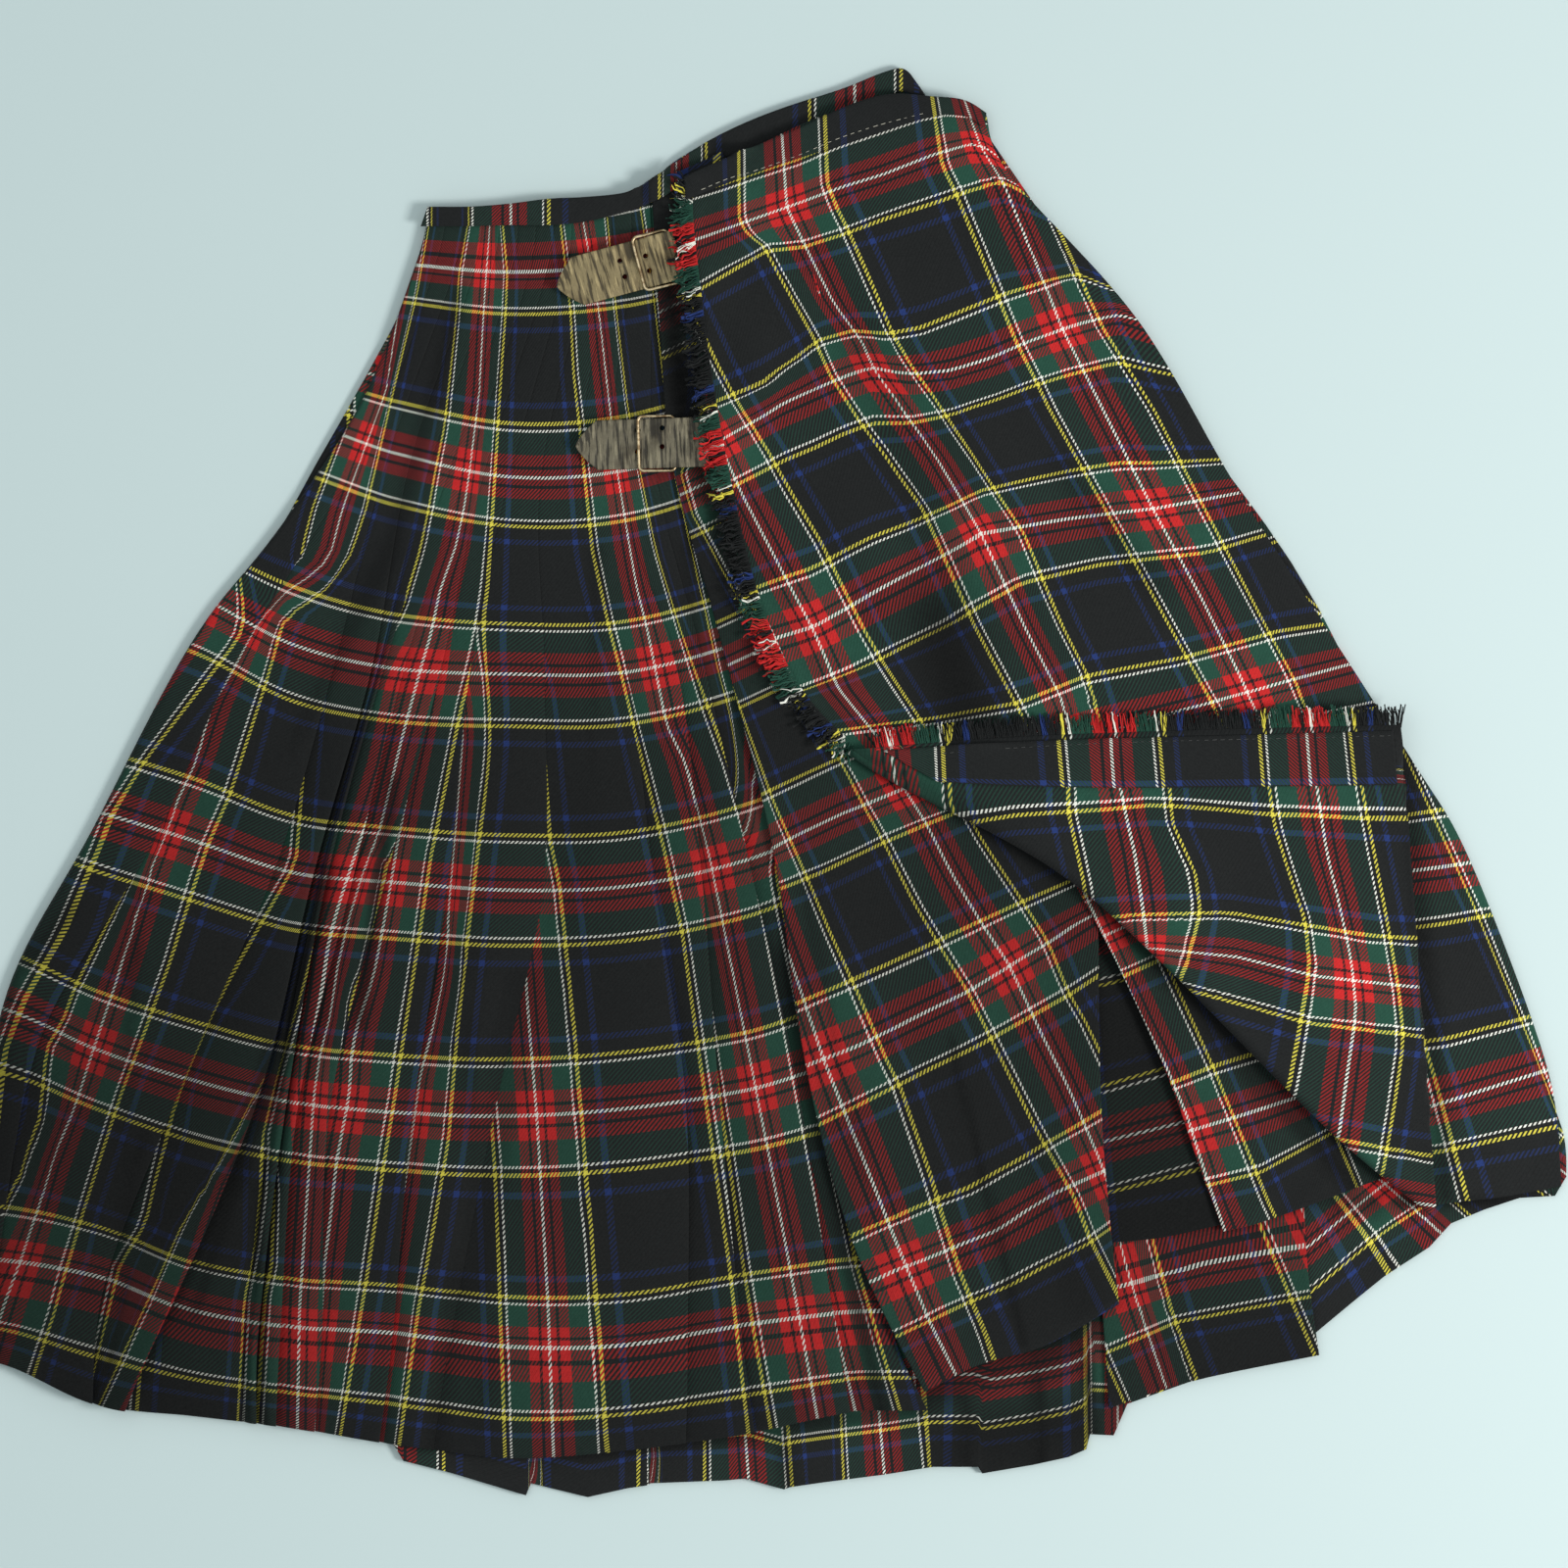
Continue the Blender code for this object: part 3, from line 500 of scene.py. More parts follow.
def back_sheet():
    hem = np.array(BACK_HEM, float)
    outlines = [np.array(o, float) for o in (BACK_WAIST, BACK_LEFT, BACK_RIGHT)]
    downs = np.concatenate([np.linspace(0, 0.9, 24), np.linspace(0.93, 1, 10)])
    acrosses = np.linspace(0, 1, len(hem))

    def at(outline, places):
        return spline_weights(len(outline), places * (len(outline) - 1)) @ outline

    top, left, right = at(outlines[0], acrosses), at(outlines[1], downs), at(outlines[2], downs)
    a, d = acrosses[None, :, None], downs[:, None, None]
    corner = ((outlines[0][0] * (1 - a) + outlines[0][-1] * a) * (1 - d)
              + (hem[0, :2] * (1 - a) + hem[-1, :2] * a) * d)
    flat = top[None] * (1 - d) + hem[None, :, :2] * d + left[:, None] * (1 - a) + right[:, None] * a - corner
    lift = BACK_WALL + hem[None, :, 2:] * ramp(d, 0.955, 1.0)
    points = finer(np.concatenate([flat, np.broadcast_to(lift, (*flat.shape[:2], 1))], -1), 2, 4)
    hem_y = np.interp(points[..., 0], hem[:, 0], hem[:, 1])
    seam = np.array(BACK_SEAM) * PHOTO
    below_seam = points[..., 1] - np.interp(points[..., 0], seam[:, 0], seam[:, 1])
    v = np.where(points[..., 1] < 150, -0.232 + below_seam / SETT, 5.48 - (hem_y - points[..., 1]) / SETT)
    return points, np.stack([warp(BACK_WARP, points), v], -1)


back_points, back_weave = back_sheet()
# painted shade on the back half, near the front's hem and in the narrow pleats at its own hem
BACK_PAINTED_SHADE = [
    ((420, 1470), (600, 1480), 4, 0.7), ((600, 1478), (800, 1462), 5, 0.6),
    ((800, 1455), (930, 1440), 6, 0.6),
    ((930, 1430), (1060, 1370), 14, 0.75), ((1060, 1380), (1130, 1330), 20, 0.85),
    ((1340, 1220), (1400, 1230), 8, 0.6),
    ((1400, 1225), (1590, 1225), 4, 0.7), ((986, 1400), (990, 1510), 5, 0.7),
    ((1058, 1390), (1062, 1500), 6, 0.8),
    ((1108, 1380), (1114, 1465), 5, 0.85), ((990, 1470), (1100, 1450), 24, 0.55),
    ((800, 1470), (806, 1520), 4, 0.6),
]
back = panel("laid_back", back_points, back_weave, thicken=False, gloom=shadowed(back_points, BACK_PAINTED_SHADE))
bm = bmesh.new()
bm.from_mesh(back.data)
for part in bmesh.ops.extrude_face_region(bm, geom=bm.faces[:], use_keep_orig=True)["geom"]:
    if isinstance(part, bmesh.types.BMVert):
        part.co.z = 0.0
bmesh.ops.recalc_face_normals(bm, faces=bm.faces[:])
bm.to_mesh(back.data)
bm.free()
dressed(back, ["back_half"], wool)
print("back sheet:", back_points.shape)

# %% [markdown]
# The pleated front is one cloth in knife pleats, stitched down below the waist and open
# from there to the hem. Real pleats are a zigzag: over the top, round the fold, back under,
# and on as the next pleat. Here each weft row is worked out as such a zigzag from a short
# table of fold lines, and the rows are joined into one continuous sheet.

# %% Pleated front
ROW_X = [0, 50, 100, 150, 200, 260, 320, 380, 440]
WEFT_ROWS = [
    # depth y of a weft row at each x
    [107, 107, 107, 107, 107, 105, 98.5, 74, 52],
    [130, 131, 132, 133, 135, 139.5, 135, 120, 102],
    [190, 200, 207, 214, 231, 243.5, 240, 220, 196],
    [280, 290, 304, 329, 341, 344, 343, 327, 300],
    [400, 414, 429, 445, 450, 454, 452, 439, 417],
    [514, 535, 551, 562, 567, 569, 565, 556, 540],
    [642, 650, 668, 676, 679, 686, 685, 675, 668],
    [695, 716, 722, 728, 736, 743, 739, 731, 719],
]
WEFT_VALUES = [-0.40, 0, 1, 2, 3, 4, 5, 5.48]
FOLDS = {
    # name: (x of the fold at each weft row), (left, middle, right lift of the pleat that ends there)
    "side": ((218.5, 212, 175, 111, 52, 1.5, -11.5, -12.5), (0, 0, 0)),
    "pleat_1": ((228, 222, 188, 131, 82, 24, 0, -4), (0.2, 3.0, 3.5)),
    "pleat_2": ((237, 232, 199, 172, 141, 95, 55, 48), (0.8, 5.0, 4.5)),
    "pleat_3": ((246, 242, 210, 190.5, 160.5, 133, 89, 65), (0.8, 6.0, 8.5)),
    "recess_1": ((255, 251, 220, 193.5, 164, 141, 127, 125), (0.3, 1.6, 1.2)),
    "pleat_4": ((264, 261, 230, 196.5, 167.5, 147, 133, 131.5), (0.6, 4.5, 5.0)),
    "pleat_5": ((273, 270, 238, 206.5, 180.5, 153, 144, 141.5), (0.6, 4.5, 5.0)),
    "pleat_6": ((282, 279, 247, 225, 197, 169, 165, 161), (0.6, 4.0, 4.5)),
    "pleat_7": ((291, 289, 260, 240, 229, 211, 201, 194), (0.6, 3.5, 4.5)),
    "valley": ((301, 300, 276, 278, 277, 252, 230, 221.5), (0.8, 5.0, 1.0)),
    "pleat_8": ((311, 311, 296, 320, 334, 350, 351, 350), (0.5, 6.0, 4.0)),
    "pleat_9": ((321, 322, 313, 345, 358, 367, 378, 385), (1.2, 4.0, 4.5)),
    "pleat_10": ((331, 333, 334, 358, 382, 406, 425, 434), (0.8, 4.5, 4.5)),
    "pleat_11": ((339, 343, 352, 384, 404, 424, 452, 473), (0.8, 3.0, 1.5)),
}
FELL_LIFT = (0.0, 0.6, 1.2)
OPENING = (2.2, 4.5)     # weft rows between which the stitched pleats come open
FELL_WARP = [
    # the stitched part: weave coordinate, points of the stripe in photo pixels
    (-1.0, [(420, 236), (395, 400), (350, 520), (330, 600), (300, 690)]),
    (-0.768, [(436, 236), (425, 300), (400, 400), (372, 520), (345, 600), (320, 690)]),
    (-0.232, [(478, 236), (470, 280), (468, 320), (462, 380), (456, 436), (447, 480), (440, 520),
              (432, 560), (420, 600), (412, 640), (390, 720)]),
    (0.0, [(500, 236), (494, 320), (490, 400), (480, 480), (474, 520), (465, 560), (450, 600),
           (440, 640), (425, 700), (415, 760), (405, 820)]),
    (0.232, [(512, 236), (516, 280), (514, 320), (508, 400), (500, 520), (494, 600), (488, 640),
             (473, 720), (452, 780), (440, 850)]),
    (0.768, [(575, 236), (585, 320), (588, 380), (595, 440), (608, 560), (625, 640), (640, 700),
             (660, 780), (680, 860)]),
    (1.0, [(597, 236), (612, 320), (630, 480), (650, 600), (660, 640), (680, 740), (700, 780),
           (725, 880)]),
    (1.232, [(620, 236), (628, 320), (640, 420), (668, 560), (692, 640), (718, 720), (740, 780),
             (770, 880)]),
    (1.768, [(655, 215), (668, 300), (690, 487), (735, 690), (790, 880)]),
]
OPEN_WARP = {
    # the open part of each pleat: stripes, then the depths in pixels between which they take over
    "pleat_1": ([(0.232, [(290, 580), (277, 600), (250, 640), (217, 682), (150, 770), (110, 830), (95, 870),
                          (60, 950), (20, 1020), (0, 1075), (-12, 1200)]),
                 (0.329, [(315, 580), (225, 705), (162, 782), (115, 900), (100, 950), (62, 1010), (35, 1065),
                          (32, 1102), (20, 1180), (10, 1250)])], (560, 660)),
    "pleat_2": ([(-0.232, [(170, 800), (130, 915), (80, 1010), (70, 1040), (52, 1070), (50, 1103),
                           (46, 1140), (25, 1202), (12, 1225)]),
                 (0.0, [(262, 640), (235, 690), (217, 720), (200, 775), (182, 812), (165, 860), (150, 900),
                        (120, 1000), (107, 1040), (95, 1077), (80, 1122), (52, 1190), (37, 1242),
                        (22, 1287), (7, 1327), (-10, 1380)]),
                 (0.232, [(290, 620), (270, 695), (242, 780), (232, 812), (210, 860), (195, 905),
                          (172, 980), (150, 1040), (120, 1120), (82, 1242), (67, 1290), (54, 1340),
                          (37, 1390)]),
                 (0.329, [(310, 615), (300, 655), (280, 720), (255, 807), (242, 838), (170, 1045),
                          (147, 1102), (117, 1190), (100, 1240), (92, 1280), (77, 1322), (62, 1370)])],
                (560, 640)),
    "pleat_3": ([(-0.768, [(321, 600), (310, 737), (300, 880), (235, 990), (205, 1060), (177, 1125),
                           (172, 1140), (160, 1190), (147, 1247), (120, 1290), (95, 1400)]),
                 (-0.671, [(340, 600), (330, 737), (320, 880), (262, 990), (225, 1040), (200, 1097),
                           (190, 1165), (175, 1202), (165, 1250), (140, 1290), (105, 1400)]),
                 (-0.329, [(407, 600), (390, 650), (370, 737), (345, 850), (315, 960), (300, 1030),
                           (275, 1077), (262, 1102), (240, 1140), (222, 1190), (180, 1247), (162, 1290),
                           (141, 1335), (110, 1400), (88, 1447)]),
                 (-0.232, [(422, 600), (412, 637), (392, 690), (360, 850), (330, 960), (312, 1030),
                           (290, 1077), (272, 1102), (252, 1140), (235, 1172), (212, 1207), (190, 1247),
                           (170, 1290), (150, 1335), (120, 1400), (97, 1447)]),
                 (-0.06, [(440, 600), (300, 1077), (285, 1102), (262, 1140), (245, 1172), (228, 1200),
                          (212, 1245), (199, 1290), (184, 1332), (157, 1392), (132, 1438)])], (600, 720)),
    "recess_1": ([(-0.329, [(380, 700), (340, 850), (300, 1000), (275, 1100), (252, 1180), (252, 1277),
                            (240, 1335), (232, 1435)]),
                  (-0.232, [(396, 700), (356, 850), (315, 1000), (285, 1100), (272, 1155), (270, 1215),
                            (262, 1277), (252, 1322), (246, 1450)])], (780, 900)),
    "pleat_4": ([(-0.329, [(380, 700), (340, 850), (300, 1000), (275, 1100), (252, 1180), (252, 1277),
                           (240, 1335), (232, 1435)]),
                 (-0.232, [(396, 700), (356, 850), (315, 1000), (285, 1100), (272, 1155), (270, 1215),
                           (262, 1277), (252, 1322), (246, 1450)])], (780, 900)),
    "pleat_5": ([(-0.232, [(372, 700), (352, 780), (338, 830), (322, 867), (300, 922), (275, 960),
                           (268, 1010), (268, 1060), (275, 1110), (284, 1215), (282, 1290), (275, 1322),
                           (267, 1445)]),
                 (0.0, [(412, 700), (395, 780), (378, 830), (365, 867), (347, 922), (337, 960),
                        (330, 1010), (320, 1060), (314, 1110), (318, 1215), (314, 1290), (308, 1445)])],
                (600, 700)),
    "pleat_6": ([(0.0, [(460, 600), (432, 675), (412, 750), (388, 850), (372, 890), (358, 935),
                        (346, 985), (339, 1035), (329, 1072), (322, 1115), (317, 1190), (312, 1260),
                        (307, 1335), (305, 1450)]),
                 (0.232, [(488, 640), (475, 675), (452, 750), (425, 830), (400, 868), (392, 880),
                          (382, 935), (370, 985), (357, 1015), (355, 1035), (350, 1072), (352, 1115),
                          (350, 1190), (348, 1260), (345, 1450)])], (600, 700)),
    "pleat_7": ([(0.0, [(460, 600), (447, 660), (432, 740), (418, 800), (405, 870), (395, 930),
                        (382, 997), (365, 1047), (360, 1072), (357, 1120), (345, 1180), (337, 1252),
                        (332, 1290), (322, 1450)]),
                 (0.232, [(488, 640), (467, 725), (442, 850), (437, 872), (425, 955), (407, 1072),
                          (400, 1120), (390, 1180), (372, 1300), (355, 1400)])], (620, 720)),
    "valley": ([(0.0, [(478, 690), (470, 800), (455, 1000), (430, 1100), (415, 1200), (400, 1300),
                       (385, 1440)]),
                (0.232, [(500, 690), (495, 780), (487, 850), (475, 950), (463, 1060), (455, 1160),
                         (440, 1250), (425, 1330), (405, 1470)])], (620, 760)),
    "pleat_8": ([(-0.232, [(490, 960), (508, 1170), (512, 1250), (520, 1480)]),
                 (0.0, [(528, 860), (540, 1040), (548, 1130), (560, 1330), (565, 1480)]),
                 (0.232, [(548, 700), (558, 860), (567, 900), (582, 1050), (590, 1150), (603, 1310),
                          (615, 1480)]),
                 (0.768, [(595, 440), (608, 560), (625, 640), (640, 700), (660, 780), (680, 860),
                          (700, 950), (715, 1060), (728, 1150), (748, 1290)])], (560, 720)),
    "pleat_9": ([(0.768, [(595, 440), (608, 560), (625, 640), (640, 700), (660, 780), (680, 860),
                          (700, 950), (715, 1060), (728, 1150), (748, 1290), (765, 1440)]),
                 (1.0, [(630, 480), (650, 600), (660, 640), (680, 740), (700, 780), (725, 880),
                        (745, 980), (765, 1080)])], (560, 720)),
    "pleat_10": ([(0.768, [(735, 1100), (750, 1200), (762, 1290), (775, 1370), (790, 1455)]),
                  (1.0, [(630, 480), (650, 600), (660, 640), (680, 740), (700, 780), (725, 880),
                         (745, 980), (765, 1080), (785, 1180), (800, 1260), (815, 1340), (835, 1450)]),
                  (1.232, [(640, 420), (668, 560), (692, 640), (718, 720), (740, 780), (770, 880),
                           (783, 950), (800, 1040)])], (560, 720)),
    "pleat_11": ([(0.0, [(687, 700), (775, 1050), (800, 1150), (838, 1290), (872, 1435)]),
                  (0.232, [(750, 700), (820, 1050), (840, 1150), (870, 1290), (915, 1440)])], (700, 900)),
}
PLEAT_CREASES = [
    # from, to in photo pixels, width in mm, height in mm
    ((300, 760), (190, 1040), 9, 0.8), ((250, 900), (150, 1150), 7, -0.5),
    ((590, 760), (560, 1020), 12, -0.8), ((660, 900), (640, 1250), 14, 0.9),
    ((500, 900), (470, 1200), 8, 0.7), ((760, 1000), (800, 1300), 7, 0.6),
    ((120, 980), (60, 1250), 8, -0.6), ((430, 1250), (380, 1440), 8, -0.5),
    ((610, 1100), (640, 1440), 10, -0.7), ((90, 1150), (60, 1350), 8, 0.7),
]
PLEAT_PAINTED_SHADE = {
    # painted shade on the left part of each pleat, in the shade of the fold beside it: depths in photo
    # pixels, width in millimetres, strength
    "pleat_1": [(700, 1000, 8, 0.4), (900, 1460, 18, 0.55)],
    "pleat_2": [(560, 900, 5, 0.45), (880, 1300, 6, 0.55)],
    "pleat_3": [(600, 900, 5, 0.5), (1130, 1440, 17, 0.85)],
    "recess_1": [(600, 1000, 4, 0.5), (980, 1460, 20, 0.85)],
    "pleat_4": [(640, 1000, 4, 0.6), (1040, 1190, 8, 0.75), (1150, 1460, 3, 0.5)],
    "pleat_5": [(640, 1460, 3, 0.6)],
    "pleat_6": [(640, 800, 3, 0.5), (780, 1020, 6, 0.92), (1000, 1460, 2.5, 0.5)],
    "pleat_7": [(640, 800, 3, 0.5), (780, 1040, 6, 0.92), (1020, 1460, 3, 0.55)],
    "valley": [(640, 900, 4, 0.5), (860, 1460, 9, 0.6)],
    "pleat_8": [(760, 1000, 3, 0.4), (960, 1460, 10, 0.5)],
    "pleat_9": [(640, 1460, 4, 0.45)],
    "pleat_10": [(640, 1460, 4, 0.5)],
    "pleat_11": [(640, 1460, 5, 0.6)],
}
# painted shade along the deep gaps and folds between the pleats
FRONT_PAINTED_SHADE = [
    ((335, 890), (292, 1060), 7, 0.75), ((300, 1060), (262, 1150), 8, 0.85),
    ((262, 1150), (250, 1300), 4, 0.6),
    ((150, 1150), (122, 1290), 7, 0.85), ((135, 1290), (112, 1400), 6, 0.8), ((15, 880), (0, 1380), 14, 0.7),
    ((480, 1050), (495, 1450), 8, 0.5), ((522, 985), (452, 1400), 6, 0.5), ((470, 300), (400, 560), 5, 0.45),
    ((400, 560), (300, 760), 7, 0.5), ((210, 850), (60, 1150), 7, 0.4), ((800, 980), (900, 1440), 8, 0.8),
    ((75, 925), (25, 990), 9, 0.7), ((283, 1070), (240, 1210), 12, 0.85), ((240, 1210), (200, 1340), 8, 0.8),
    ((140, 960), (125, 1270), 7, 0.75), ((402, 800), (368, 1040), 6, 0.8),
    ((535, 1000), (478, 1330), 11, 0.6),
    ((470, 1300), (445, 1480), 12, 0.65), ((752, 1200), (765, 1458), 3, 0.6),
    ((264, 1200), (270, 1450), 6, 0.75),
    ((610, 560), (600, 900), 5, 0.4), ((700, 560), (740, 900), 5, 0.4),
]
HEEL_X = (5.0, 1.5, 0.0)        # the first edge turns under: distance to its fold, mm
HEEL_Z = (2.8, 3.0, 3.6)        # and its heights, mm
FOLD_RADIUS = 0.75      # largest radius of a pleat's rolled edge, mm
TUCK = 2.6              # how far a pleat goes back under its own fold, mm
ACROSS = 13             # points across the visible face of a pleat


def depth_of(step, x):
    """Depth y of the weft row, counted in steps, at each x."""
    rows = spline_weights(len(WEFT_ROWS), [step])[0] @ np.array(WEFT_ROWS, float)
    places = np.clip(np.interp(x, ROW_X, range(len(ROW_X))), 0, len(ROW_X) - 1)
    places = np.where(x < 0, 0, places)
    return spline_weights(len(ROW_X), places) @ rows


def pleat_zigzag(step):
    """One weft row across all pleats: x, height and the pleat that each point belongs to."""
    folds = list(FOLDS.items())
    opened = float(ramp(step, *OPENING))
    base = BACK_WALL + 0.35 + SOLID_WALL
    lines = [spline_weights(len(WEFT_ROWS), [step])[0] @ np.array(line, float) for _, (line, _) in folds]
    lifts = [base + np.array(FELL_LIFT) + (np.array(lift) - FELL_LIFT) * opened for _, (_, lift) in folds]
    xs, zs, owners = [lines[0] + x for x in HEEL_X], list(HEEL_Z), [1] * len(HEEL_X)
    for k in range(1, len(folds)):
        left, right = lines[k - 1], lines[k]
        low, middle, high = lifts[k]
        after = lifts[k + 1][0] if k + 1 < len(folds) else high - 1.2
        radius = min(FOLD_RADIUS, max((high - after) / 3, 0.2))
        share = np.linspace(0, 1, ACROSS)
        body = (low * (1 - share) * (1 - 2 * share) + middle * 4 * share * (1 - share)
                + high * share * (2 * share - 1))
        if k == 1:
            share = share[1:]
            body = body[1:]
        xs += list(left + (right - radius - left) * share)
        zs += list(body)
        for turn in (45, 90, 135, 180):
            a = math.radians(turn)
            xs.append(right - radius + radius * math.sin(a))
            zs.append(high - radius * (1 - math.cos(a)))
        tuck = min(TUCK, 0.35 * (right - left))
        xs += [right - tuck, right - tuck - 0.4, right - tuck]
        zs += [max(high - 2 * radius - 0.3, after + 0.3), after + 0.1, after - 0.05]
        owners += [k] * (len(share) + 6) + [min(k + 1, len(folds) - 1)]
    return np.array(xs), np.array(zs), owners


def pleated_front(steps_each=13):
    last = len(WEFT_ROWS) - 1
    rows, owners = [], None
    for step in np.linspace(0, last, last * steps_each + 1):
        x, z, owners = pleat_zigzag(step)
        rows.append(np.stack([x, depth_of(step, x), z], -1))
    points = np.array(rows)
    owners = np.array(owners)
    values = np.interp(np.linspace(0, last, len(rows)), range(len(WEFT_VALUES)), WEFT_VALUES)
    v = np.repeat(values[:, None], points.shape[1], axis=1)
    fell = warp(FELL_WARP, points, 62.0)
    u = fell.copy()
    for k, name in enumerate(list(FOLDS)[1:], start=1):
        stripes, (start, end) = OPEN_WARP[name]
        mine = owners == k
        own = warp(stripes, points[:, mine], 108.0)
        share = ramp(points[:, mine, 1], start * PHOTO, end * PHOTO)
        changing = (share > 0.05) & (share < 0.95)
        shift = np.round(np.median((fell[:, mine] - own)[changing]))
        u[:, mine] = fell[:, mine] * (1 - share) + (own + shift) * share
    across, down = points[..., 0] / PHOTO, points[..., 1] / PHOTO
    # painted shade: darker towards the hem and on the left, where the front lies in shade, then along the
    # listed lines and on the left part of each pleat beside its fold
    gloom = 0.34 * ramp(down, 480, 850) + 0.32 * ramp(down, 850, 1150) * (1 - ramp(across, 150, 420))
    gloom = np.maximum(gloom, shadowed(points, FRONT_PAINTED_SHADE))
    for k, name in enumerate(list(FOLDS)[1:], start=1):
        mine = owners == k
        x, y = points[:, mine, 0], points[:, mine, 1] / PHOTO
        left = x.min(axis=1, keepdims=True)
        for start, end, width, strength in PLEAT_PAINTED_SHADE[name]:
            along = ramp(y, start, start + 70) * (1 - ramp(y, end - 70, end))
            gloom[:, mine] = np.maximum(gloom[:, mine], strength * along * (1 - ramp(x - left, 0, width)))
        # painted shade at the left edge of each pleat along its stitched part
        seam = (1 - ramp(y, 500, 640)) * 0.35 * (1 - ramp(x - left, 0, 1.6))
        gloom[:, mine] = np.maximum(gloom[:, mine], seam)
    points = creased(points, PLEAT_CREASES)
    return points, np.stack([u, v], -1), gloom


front_points, front_weave, front_painted_shade = pleated_front()
front = panel("pleated_front", front_points, front_weave, wall=0.45, gloom=front_painted_shade)
dressed(front, ["pleated_panel"], wool)
print("pleated front:", front_points.shape)

# %% [markdown]
# Under the over-apron lie three more stretches of the same cloth: the deep end pleat that
# shows beside the fringe, the under-apron, and the fold between them. Each is a lattice of
# layout points, set on its solid and refined, with its folded sides rolled under.

# %% Under layers
END_PLEAT = [
    [(333, 94), (344, 89), (356, 84), (368, 78)],
    [(337, 160), (351, 153), (368, 146), (388, 138)],
    [(343, 235), (361, 226), (383, 215), (410, 203)],
    [(361, 300), (386, 285), (416, 268), (452, 252)],
    [(375, 352), (412, 335), (455, 320), (510, 305)],
    [(388, 402), (436, 385), (490, 368), (550, 345)],
    [(398, 450), (450, 436), (503, 420), (556, 402)],
    [(405, 503), (458, 490), (512, 474), (559, 458)],
    [(413, 550), (464, 541), (516, 527), (559.5, 514)],
    [(425, 600), (474, 594), (522, 582), (561, 570)],
    [(443, 652), (487, 646), (530, 636), (565, 620)],
    [(472, 709), (500, 695.5), (533, 686), (570, 665)],
]
UNDER_FOLD = [
    [(535, 452), (590, 430), (640, 415)],
    [(545, 530), (605, 510), (652, 492)],
    [(555, 610), (612, 595), (662, 580)],
    [(562, 660), (617, 655), (666, 645)],
    [(566, 718), (609, 704), (672, 691)],
]
UNDER_APRON = [
    [(400, 86), (440, 68), (500, 64)],
    [(430, 190), (500, 175), (566, 162)],
    [(480, 330), (560, 295), (632, 268)],
    [(548, 450), (620, 412), (690, 366)],
    [(575, 502), (650, 475), (726, 440)],
    [(597, 552), (670, 528), (748, 500)],
    [(611, 592), (684, 570), (764, 548)],
    [(624, 627.5), (655, 619), (760, 580)],
]
END_WARP = [
    (-0.232, [(600, 526), (660, 640), (700, 760), (760, 960), (800, 1120), (900, 1400)]),
    (0.0, [(640, 526), (690, 610), (700, 630), (735, 700), (770, 860), (800, 960), (840, 1080), (880, 1180),
           (920, 1280), (950, 1350), (975, 1400)]),
    (0.232, [(665, 526), (711, 630), (745, 700), (785, 815), (800, 850), (820, 895), (845, 955), (870, 1010),
             (900, 1080), (915, 1110), (945, 1200), (955, 1235), (975, 1300), (1000, 1360), (1008, 1385)]),
    (0.768, [(735, 250), (728, 400), (712, 440), (695, 478), (708, 526), (724, 555), (745, 594), (765, 630),
             (815, 710), (865, 785), (880, 815), (905, 860), (935, 920), (965, 970), (990, 1010),
             (1010, 1050), (1040, 1110), (1060, 1150), (1100, 1220), (1115, 1260), (1140, 1310)]),
    (1.0, [(790, 250), (783, 400), (767, 440), (750, 478), (763, 526), (820, 630), (860, 700), (900, 770),
           (945, 840), (970, 890), (1000, 940), (1030, 985), (1060, 1050), (1090, 1110), (1120, 1180),
           (1160, 1290)]),
    (1.232, [(845, 250), (838, 400), (820, 440), (805, 478), (815, 526), (880, 630), (915, 700), (960, 790),
             (1000, 860), (1040, 920), (1065, 960), (1085, 1010), (1105, 1045), (1140, 1120)]),
]
END_WEFT = [
    (2.768, [(785, 810), (860, 775)]),
    (3.0, [(790, 865), (860, 830), (925, 805)]),
    (3.232, [(800, 900), (840, 885), (900, 855), (950, 835)]),
    (3.768, [(830, 1020), (905, 988), (960, 962), (1040, 925), (1080, 908)]),
    (4.0, [(840, 1080), (880, 1065), (930, 1040), (990, 1010), (1030, 985), (1085, 950)]),
    (4.232, [(850, 1135), (900, 1110), (1010, 1055), (1090, 1010), (1120, 990)]),
    (4.768, [(890, 1255), (925, 1240), (955, 1228), (990, 1215), (1060, 1175), (1110, 1145)]),
    (5.0, [(925, 1290), (1015, 1255), (1075, 1215), (1110, 1200)]),
    (5.232, [(915, 1360), (955, 1340), (1035, 1305), (1110, 1265), (1130, 1250)]),
]
UNDER_PLEAT = [
    [(540, 455), (585, 440), (625, 428)],
    [(547, 520), (592, 508), (632, 497)],
    [(553, 580), (598, 568), (636, 558)],
    [(557, 634), (592, 631), (632, 622)],
]
RECESS_WARP = [
    (0.329, [(1112, 1000), (1120, 1100), (1133, 1236), (1136, 1263)]),
    (0.671, [(1260, 1000), (1270, 1263)]),
]
RECESS_WEFT = [
    (3.768, [(1100, 905), (1190, 885)]), (4.232, [(1110, 1005), (1190, 985)]),
    (4.671, [(1118, 1092), (1197, 1070)]), (4.768, [(1118, 1113), (1197, 1090)]),
    (5.0, [(1122, 1165), (1197, 1147)]), (5.232, [(1129, 1213), (1214, 1190)]),
    (5.48, [(1135, 1263), (1243, 1251)]),
]
FOLD_WARP = [
    (-0.232, [(1095, 1240), (1110, 1340), (1150, 1430)]),
    (0.0, [(1135, 1240), (1155, 1310), (1185, 1400)]),
    (0.232, [(1150, 1200), (1170, 1260), (1190, 1335), (1215, 1405)]),
    (0.768, [(1270, 1200), (1285, 1240), (1345, 1382)]),
]
